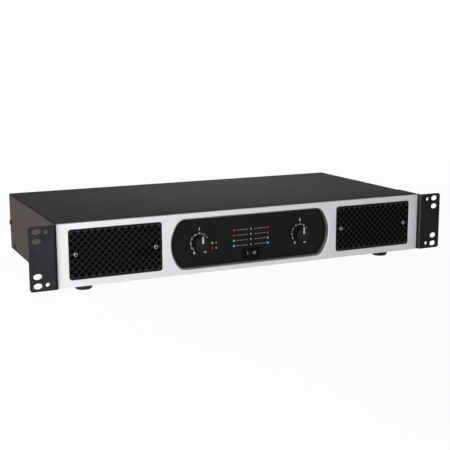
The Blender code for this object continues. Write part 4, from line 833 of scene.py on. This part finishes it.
lens = turned(lens_profile(), steps=32)
glow = turned(GLOW_PROFILE, steps=24)
for name in nodes:
    if not name.startswith("led_"):
        continue
    colour = LAMP_COLOURS[name.split("_")[1]]
    low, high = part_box(name)
    spot = at((low[0] + high[0]) / 2, PLATE_FACE, (low[2] + high[2]) / 2) @ FRONT
    add(f"{name}_lens", placed(lens, spot), LENSES[colour], "chassis", [name])
    # On the unlit red lamps this dome is a painted highlight
    add(f"{name}_glow", placed(glow, spot), GLOWS[colour], "chassis")

# Screws

HEAD_RIM = 0.35
HEAD_ROUND = 0.7
CROSS_LENGTH = 1.15
CROSS_WIDTH = 0.26
CROSS_FLOOR = 0.35


def pan_head(radius, height, steps=32):
    """A plain domed head, standing on Z = 0."""
    profile = [(0.0, height)]
    for degrees in range(20, 91, 14):
        angle = math.radians(degrees)
        dome = HEAD_RIM + (1 - HEAD_RIM) * math.cos(angle) ** HEAD_ROUND
        profile.append((radius * math.sin(angle), height * dome))
    profile += [(radius, 0.0), (0.0, 0.0)]
    return turned(profile, steps)


def cross_head(radius, height):
    """A pan head with a cross recess, standing on Z = 0."""
    head = pan_head(radius, height)
    outline = rectangle(0.0, 0.0, radius * CROSS_LENGTH, radius * CROSS_WIDTH)
    slot = plate([outline], height * CROSS_FLOOR, height * 2)
    for degrees in (45, 135):
        head = carved(head, placed(slot, turned_by(degrees, "Z")))
    return head


def hexagon(radius):
    return arc(0.0, 0.0, radius, 0, 300, steps=5)


GRILLE_HEAD_RADIUS = 0.0023
GRILLE_HEAD_HEIGHT = 0.0017
RECESS_RADIUS = 0.0013
RECESS_FLOOR = 0.0007
RECESS_TOP = 0.0030
SOCKET_RADIUS = 0.0012
SOCKET_BOTTOM = 0.0003
SOCKET_TOP = 0.0008
SOCKET_EDGE = 0.0001
SCREW_PROUD = 0.0001
# A thin black ring under each grille screw head paints the shadow round the head
SHADOW_RING_PROFILE = [
    (0.0016, 0.0), (0.0016, 0.0003), (0.0028, 0.0003), (0.0029, 0.0002), (0.0029, 0.0), (0.0016, 0.0)]
SHANK_PROFILE = [(0.0, 0.0001), (0.0015, 0.0001), (0.0015, -0.0080), (0.0, -0.0080)]

recess = plate([hexagon(RECESS_RADIUS)], RECESS_FLOOR, RECESS_TOP)
screw_head = carved(pan_head(GRILLE_HEAD_RADIUS, GRILLE_HEAD_HEIGHT, steps=48), recess)
socket = soften(plate([hexagon(SOCKET_RADIUS)], SOCKET_BOTTOM, SOCKET_TOP), SOCKET_EDGE, segments=2)
shadow_ring = turned(SHADOW_RING_PROFILE, steps=32)
shank = turned(SHANK_PROFILE, steps=16)
shadow_rings = []
sockets = []
for name in nodes:
    if "grille_screw" not in name:
        continue
    low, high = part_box(name)
    spot = at((low[0] + high[0]) / 2, GRILLE_FRONT - SCREW_PROUD, (low[2] + high[2]) / 2) @ FRONT
    screw = joined([(screw_head, spot), (shank, spot)])
    add(f"{name}_head", screw, BRONZE, "chassis", [name])
    shadow_rings.append((shadow_ring, spot))
    sockets.append((socket, spot))
# Painted shadow: black rings under the grille screw heads
add("grille_screw_shadow_rings", joined(shadow_rings), KNOB_BLACK)
# Painted shade: a near-black hex plate at the floor of each socket
add("grille_screw_socket_shade", joined(sockets), RECESS_SHADE)

COVER_SCREWS = ((0.1025, 0.0404), (0.0874, 0.0146))
EAR_SCREWS = ((-0.0800, 0.0250), (-0.0800, 0.0590))
EAR_SHEET = 0.0023

side_head = cross_head(radius=0.0031, height=0.0016)
flush_head = cross_head(radius=0.0027, height=0.0007)
side_screws = []
for sign, facing in ((-1, LEFT), (1, RIGHT)):
    for y, z in COVER_SCREWS:
        side_screws.append((side_head, at(sign * CASE_SIDE, y, z) @ facing))
    for y, z in EAR_SCREWS:
        side_screws.append((flush_head, at(sign * (CASE_SIDE + EAR_SHEET), y, z) @ facing))
add("side_screws", joined(side_screws), BLACK_SCREW)

FLANGE_SCREW_X = 0.0095
FLANGE_SCREW_Z = 0.0120
INLET_SCREW_X = 0.0200
FAN_SCREW = 0.0200
COVER_REAR_X = (-0.1330, 0.0140, 0.1330)
COVER_REAR_Z = 0.0690

rear_head = cross_head(radius=0.0024, height=0.0013)
rear_spots = []
for x in INPUT_X + OUTPUT_X:
    for end in ENDS:
        rear_spots.append((x + end * FLANGE_SCREW_X, FLANGE_FACE, CASE_MID - end * FLANGE_SCREW_Z))
for end in ENDS:
    rear_spots.append((INLET_X + end * INLET_SCREW_X, INLET_FACE, CASE_MID))
for sign in ENDS:
    for end_x in ENDS:
        for end_z in ENDS:
            rear_spots.append((sign * FAN_X + end_x * FAN_SCREW, CASE_REAR, CASE_MID + end_z * FAN_SCREW))
for x in COVER_REAR_X:
    rear_spots.append((x, CASE_REAR, COVER_REAR_Z))
rear_screws = [(rear_head, at(*spot) @ REAR) for spot in rear_spots]
add("rear_screws", joined(rear_screws), BLACK_SCREW)

SINK_SCREW_INSET = 0.0150

tray_head = cross_head(radius=0.0028, height=0.0014)
tray_spots = []
low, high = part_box("main_board")
for x in (low[0] + PILLAR_INSET, high[0] - PILLAR_INSET):
    for y in (low[1] + PILLAR_INSET, high[1] - PILLAR_INSET):
        tray_spots.append((x, y, TRAY_BOTTOM))
low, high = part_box("right_heat_sink")
for sign in ENDS:
    for y in (low[1] + SINK_SCREW_INSET, high[1] - SINK_SCREW_INSET):
        tray_spots.append((sign * (low[0] + SINK_BASE / 2), y, TRAY_BOTTOM))
tray_screws = [(tray_head, at(*spot) @ DOWN) for spot in tray_spots]
add("tray_screws", joined(tray_screws), BRIGHT)

# Feet

FOOT_PROFILE = [
    (0.0018, 0.0087), (0.0088, 0.0087), (0.0090, 0.0085), (0.0090, 0.0022), (0.0088, 0.0014),
    (0.0082, 0.0004), (0.0076, 0.0), (0.0034, 0.0), (0.0030, 0.0004), (0.0030, 0.0045),
    (0.0018, 0.0045), (0.0018, 0.0087)]
FOOT_SCREW_Z = 0.0044

foot = turned(FOOT_PROFILE, steps=48)
foot_screw = cross_head(radius=0.0026, height=0.0016)
foot_screws = []
for name in nodes:
    if not name.startswith("foot_"):
        continue
    low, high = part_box(name)
    x = (low[0] + high[0]) / 2
    y = (low[1] + high[1]) / 2
    add(f"{name}_rubber", placed(foot, at(x, y, 0.0)), RUBBER, "chassis", [name])
    foot_screws.append((foot_screw, at(x, y, FOOT_SCREW_Z) @ DOWN))
add("foot_screws", joined(foot_screws), BRIGHT)

# Foam filters

FOAM_STEP = 0.0015
FOAM_DIP = 0.0004
FOAM_WAVES_X = 90
FOAM_WAVES_Y = 45


def foam_sheet(low, high):
    """An open-cell sheet with an uneven face, inside its solid's box."""
    width = high[0] - low[0]
    height = high[2] - low[2]
    thickness = high[1] - low[1]
    work = bmesh.new()
    bmesh.ops.create_grid(
        work, x_segments=round(width / FOAM_STEP), y_segments=round(height / FOAM_STEP), size=0.5)
    for vert in work.verts:
        wave = noise.noise(Vector((vert.co.x * FOAM_WAVES_X, vert.co.y * FOAM_WAVES_Y, 0.0)))
        dip = FOAM_DIP * (0.5 + 0.5 * wave)
        vert.co = (vert.co.x * width, vert.co.y * height, thickness - dip)
    raised = bmesh.ops.extrude_face_region(work, geom=list(work.faces))["geom"]
    for item in raised:
        if isinstance(item, bmesh.types.BMVert):
            item.co.z = 0.0
    bmesh.ops.recalc_face_normals(work, faces=work.faces)
    mesh = bpy.data.meshes.new("foam")
    work.to_mesh(mesh)
    work.free()
    mesh.transform(at((low[0] + high[0]) / 2, high[1], (low[2] + high[2]) / 2) @ FRONT)
    return mesh


for side in SIDES:
    low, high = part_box(f"{side}_filter")
    add(f"{side}_foam", foam_sheet(low, high), FOAM, "chassis", [f"{side}_filter"])

# Power switch marks

ROCKER_TILT = math.radians(9.0)
ROCKER_CROWN = math.radians(24.0)
ROCKER_REACH = 0.0083
ROCKER_VALLEY = 0.0026
ROCKER_MARK = 0.0042


def rocker_marks():
    """The two marks lie on the two slopes of the rocker, which rests with its left end pressed."""
    edge_x = ROCKER_REACH * math.cos(ROCKER_CROWN)
    edge_y = ROCKER_REACH * math.sin(ROCKER_CROWN)
    slope = math.atan2(edge_y - ROCKER_VALLEY, edge_x)
    middle = at(0.0, ROCKER_PIVOT_Y, SWITCH_Z) @ Matrix.Rotation(-ROCKER_TILT, 4, "Z")
    placed_marks = []
    for sign, text in ((-1, "I"), (1, "O")):
        face = at(sign * edge_x / 2, -(edge_y + ROCKER_VALLEY) / 2, 0.0)
        face = face @ Matrix.Rotation(-sign * slope, 4, "Z")
        mark = words(text, ROCKER_MARK, 0.0, 0.0, 0.0)
        placed_marks.append((mark, middle @ face))
    return joined(placed_marks)


add("rocker_marks", rocker_marks(), DIM_PRINT, "power_rocker")

# Rear connectors

FLANGE_WIDTH = 0.0260
FLANGE_HEIGHT = 0.0310
FLANGE_CORNER = 0.0030
FLANGE_SHEET = 0.0022
FLANGE_EDGE = 0.0005
SLEEVE_RADIUS = 0.0115
SLEEVE_FRONT = -0.0020
SLEEVE_REAR = -0.0222
INPUT_BORE = 0.0095
INPUT_FLOOR = -0.0140
OUTPUT_BORE = 0.0100
OUTPUT_FLOOR = -0.0150
POST_PROFILE = [(0.0, 0.0), (0.0044, 0.0), (0.0050, -0.0006), (0.0050, -0.0150), (0.0, -0.0150)]
CONTACT_PROFILE = [
    (0.0011, 0.0002), (0.0016, 0.0002), (0.0017, 0.0), (0.0017, -0.0001), (0.0011, -0.0001),
    (0.0011, 0.0002)]
# The wells are near-black discs: painted shade inside the contact holes
WELL_PROFILE = [(0.0, 0.00005), (0.0011, 0.00005), (0.0011, -0.0001), (0.0, -0.0001)]
CONTACT_ANGLES = (30, 150, 270)
CONTACT_RING = 0.0045
CONTACT_PLACE = -0.0139
LATCH_RISE = 0.0121
LATCH_SLOT = (0.0092, 0.0038)
LATCH_SLOT_ENDS = (-0.0120, 0.0010)
LATCH_TAB = (0.0084, 0.0030)
LATCH_TAB_CORNER = 0.0006
LATCH_TAB_ENDS = (-0.0075, 0.0025)
LATCH_TAB_EDGE = 0.0005


def connector_flange(bore):
    """A rounded plate with a round opening, its face at Z = 0."""
    edge = rounded_rectangle(0.0, 0.0, FLANGE_WIDTH, FLANGE_HEIGHT, FLANGE_CORNER)
    return soften(plate([edge, circle(0.0, 0.0, bore)], -FLANGE_SHEET, 0.0), FLANGE_EDGE, front_only=True)


def sleeve(bore, floor):
    """The closed barrel behind a flange."""
    return turned([
        (bore, SLEEVE_FRONT), (SLEEVE_RADIUS, SLEEVE_FRONT), (SLEEVE_RADIUS, SLEEVE_REAR), (0.0, SLEEVE_REAR),
        (0.0, floor), (bore, floor), (bore, SLEEVE_FRONT)], steps=48)


contact = turned(CONTACT_PROFILE, steps=24)
well = turned(WELL_PROFILE, steps=24)
latch_slot = plate([rectangle(0.0, LATCH_RISE, *LATCH_SLOT)], *LATCH_SLOT_ENDS)
latch_tab = plate([rounded_rectangle(0.0, 0.0, *LATCH_TAB, LATCH_TAB_CORNER)], *LATCH_TAB_ENDS)
latch_tab = soften(latch_tab, LATCH_TAB_EDGE)


def input_connector(number, x):
    """A locking input: its shell, three contacts with discs of painted shade in their wells, and the latch's
    tab.
    """
    name = f"xlr_input_{number}"
    latch = f"xlr_latch_{number}"
    spot = at(x, FLANGE_FACE, CASE_MID) @ REAR
    flange = carved(connector_flange(INPUT_BORE), latch_slot)
    shell = joined([(flange, spot), (sleeve(INPUT_BORE, INPUT_FLOOR), spot)])
    add(f"{name}_shell", shell, PLASTIC, "chassis", [name])
    rings = []
    wells = []
    for degrees in CONTACT_ANGLES:
        angle = math.radians(degrees)
        deep = spot @ at(CONTACT_RING * math.cos(angle), CONTACT_RING * math.sin(angle), CONTACT_PLACE)
        rings.append((contact, deep))
        wells.append((well, deep))
    add(f"{name}_contacts", joined(rings), BRASS)
    add(f"{name}_wells", joined(wells), RECESS_SHADE)
    tab = placed(latch_tab, spot @ at(0.0, LATCH_RISE, 0.0))
    add(f"{latch}_tab", tab, ZINC, latch, [latch])


def output_connector(number, x):
    """A round speaker output with a post in its middle."""
    name = f"speaker_output_{number}"
    spot = at(x, FLANGE_FACE, CASE_MID) @ REAR
    parts = (connector_flange(OUTPUT_BORE), sleeve(OUTPUT_BORE, OUTPUT_FLOOR), turned(POST_PROFILE, steps=48))
    shell = joined([(part, spot) for part in parts])
    add(f"{name}_shell", shell, PLASTIC, "chassis", [name])


for number, x in enumerate(INPUT_X, 1):
    input_connector(number, x)
for number, x in enumerate(OUTPUT_X, 1):
    output_connector(number, x)

BLADE = (0.0021, 0.0041)
BLADE_ENDS = (-0.0186, -0.0053)
BLADE_EDGE = 0.0004
BLADE_PITCH = 0.0070
BLADE_RISE = 0.0020

blade = soften(plate([rectangle(0.0, 0.0, *BLADE)], *BLADE_ENDS), BLADE_EDGE, segments=2, front_only=True)
blades = []
for step in (-1, 0, 1):
    rise = BLADE_RISE if step == 0 else -BLADE_RISE
    blades.append((blade, at(INLET_X, INLET_FACE, CASE_MID) @ REAR @ at(step * BLADE_PITCH, rise, 0.0)))
add("mains_inlet_blades", joined(blades), NICKEL)

# Stage, light and camera

WHITE = (1.0, 1.0, 1.0, 1.0)
FLOOR_REACH = 6
FLOOR_GREY = (0.86, 0.86, 0.86, 1.0)
FLOOR_ROUGHNESS = 0.9
SHADOW_REACH = (0.5, 1.5)
SHADOW_WHITE = (0.94, 1.0)
AMBIENT = 0.12


def plain_sight(tree):
    """One for rays from the camera, from gloss and through clear parts, which see plain white."""
    path = tree.nodes.new("ShaderNodeLightPath")
    value = path.outputs["Is Camera Ray"]
    for ray in ("Is Glossy Ray", "Is Transmission Ray"):
        larger = tree.nodes.new("ShaderNodeMath")
        larger.operation = "MAXIMUM"
        tree.links.new(value, larger.inputs[0])
        tree.links.new(path.outputs[ray], larger.inputs[1])
        value = larger.outputs["Value"]
    return value


def stage_finish():
    """Pale floor: white to the camera and to gloss, with the object's shadow left near it."""
    material = bpy.data.materials.new("pale_floor")
    material.use_nodes = True
    tree = material.node_tree
    shader = tree.nodes["Principled BSDF"]
    shader.inputs["Base Color"].default_value = FLOOR_GREY
    shader.inputs["Roughness"].default_value = FLOOR_ROUGHNESS
    glow = tree.nodes.new("ShaderNodeEmission")
    glow.inputs["Color"].default_value = WHITE
    glow.inputs["Strength"].default_value = 1.0
    distance = tree.nodes.new("ShaderNodeVectorMath")
    distance.operation = "LENGTH"
    tree.links.new(tree.nodes.new("ShaderNodeTexCoord").outputs["Object"], distance.inputs[0])
    white = tree.nodes.new("ShaderNodeMapRange")
    names = ("From Min", "From Max", "To Min", "To Max")
    for name, value in zip(names, SHADOW_REACH + SHADOW_WHITE):
        white.inputs[name].default_value = value
    tree.links.new(distance.outputs["Value"], white.inputs["Value"])
    share = tree.nodes.new("ShaderNodeMath")
    share.operation = "MULTIPLY"
    tree.links.new(plain_sight(tree), share.inputs[0])
    tree.links.new(white.outputs["Result"], share.inputs[1])
    mix = tree.nodes.new("ShaderNodeMixShader")
    tree.links.new(share.outputs["Value"], mix.inputs["Fac"])
    tree.links.new(shader.outputs["BSDF"], mix.inputs[1])
    tree.links.new(glow.outputs["Emission"], mix.inputs[2])
    tree.links.new(mix.outputs["Shader"], tree.nodes["Material Output"].inputs["Surface"])
    return material


floor_mesh = bpy.data.meshes.new("floor")
corners = rectangle(0.0, 0.0, 2 * FLOOR_REACH, 2 * FLOOR_REACH)
floor_mesh.from_pydata([(x, y, 0.0) for x, y in corners], [], [(0, 1, 2, 3)])
floor_mesh.materials.append(stage_finish())
floor = bpy.data.objects.new("floor", floor_mesh)
bpy.context.scene.collection.objects.link(floor)

world = bpy.data.worlds.new("studio")
bpy.context.scene.world = world
world.use_nodes = True
sky = world.node_tree
ambient = sky.nodes["Background"]
ambient.inputs["Color"].default_value = WHITE
ambient.inputs["Strength"].default_value = AMBIENT
white = sky.nodes.new("ShaderNodeBackground")
white.inputs["Color"].default_value = WHITE
white.inputs["Strength"].default_value = 1.0
mix = sky.nodes.new("ShaderNodeMixShader")
sky.links.new(plain_sight(sky), mix.inputs["Fac"])
sky.links.new(ambient.outputs["Background"], mix.inputs[1])
sky.links.new(white.outputs["Background"], mix.inputs[2])
sky.links.new(mix.outputs["Shader"], sky.nodes["World Output"].inputs["Surface"])

SIDE_TINT = (1.0, 0.915, 0.855)
TOP_SPREAD = math.radians(45.0)


def lamp_at(name, spot, target, size, energy, colour=(1.0, 1.0, 1.0)):
    """A rectangular lamp at a spot, turned to its target."""
    light = bpy.data.lights.new(name, "AREA")
    light.color = colour
    light.shape = "RECTANGLE"
    light.size = size[0]
    light.size_y = size[1]
    light.energy = energy
    item = bpy.data.objects.new(name, light)
    item.location = spot
    item.rotation_euler = (Vector(target) - Vector(spot)).to_track_quat("-Z", "Y").to_euler()
    bpy.context.scene.collection.objects.link(item)
    return item


lamp_at("key", (-0.60, -0.62, 0.22), (-0.15, 0.0, 0.04), (0.5, 0.4), 4.75)
lamp_at("fill", (1.4, -1.5, 0.9), (0.0, 0.0, 0.04), (1.4, 1.0), 0.15)
lamp_at("side", (-1.2, 0.2, 0.16), (-0.2, 0.0, 0.04), (0.6, 0.4), 17.5, SIDE_TINT)
rear_lamp = lamp_at("rear", (0.2, 1.3, 0.14), (0.0, 0.1, 0.04), (1.2, 0.2), 11.0)
right_lamp = lamp_at("right", (1.3, 0.3, 0.14), (0.2, 0.0, 0.04), (0.6, 0.2), 8.0)
top_lamp = lamp_at("top", (0.05, 0.065, 0.72), (0.05, 0.065, 0.07), (0.3, 0.2), 0.33)
top_lamp.data.spread = TOP_SPREAD
for lamp in (rear_lamp, right_lamp):
    lamp.visible_glossy = False

FOCAL_LENGTH = 72.994
SENSOR_WIDTH = 36.0
CAMERA_PLACE = (-0.429327, -0.958397, 0.236530)
CAMERA_TURN = (1.3827419, 0.0035476, -0.4360182)

camera_data = bpy.data.cameras.new("camera")
camera_data.lens = FOCAL_LENGTH
camera_data.sensor_width = SENSOR_WIDTH
camera = bpy.data.objects.new("camera", camera_data)
camera.location = CAMERA_PLACE
camera.rotation_euler = CAMERA_TURN
bpy.context.scene.collection.objects.link(camera)
bpy.context.scene.camera = camera
bpy.context.scene.view_settings.view_transform = "Standard"
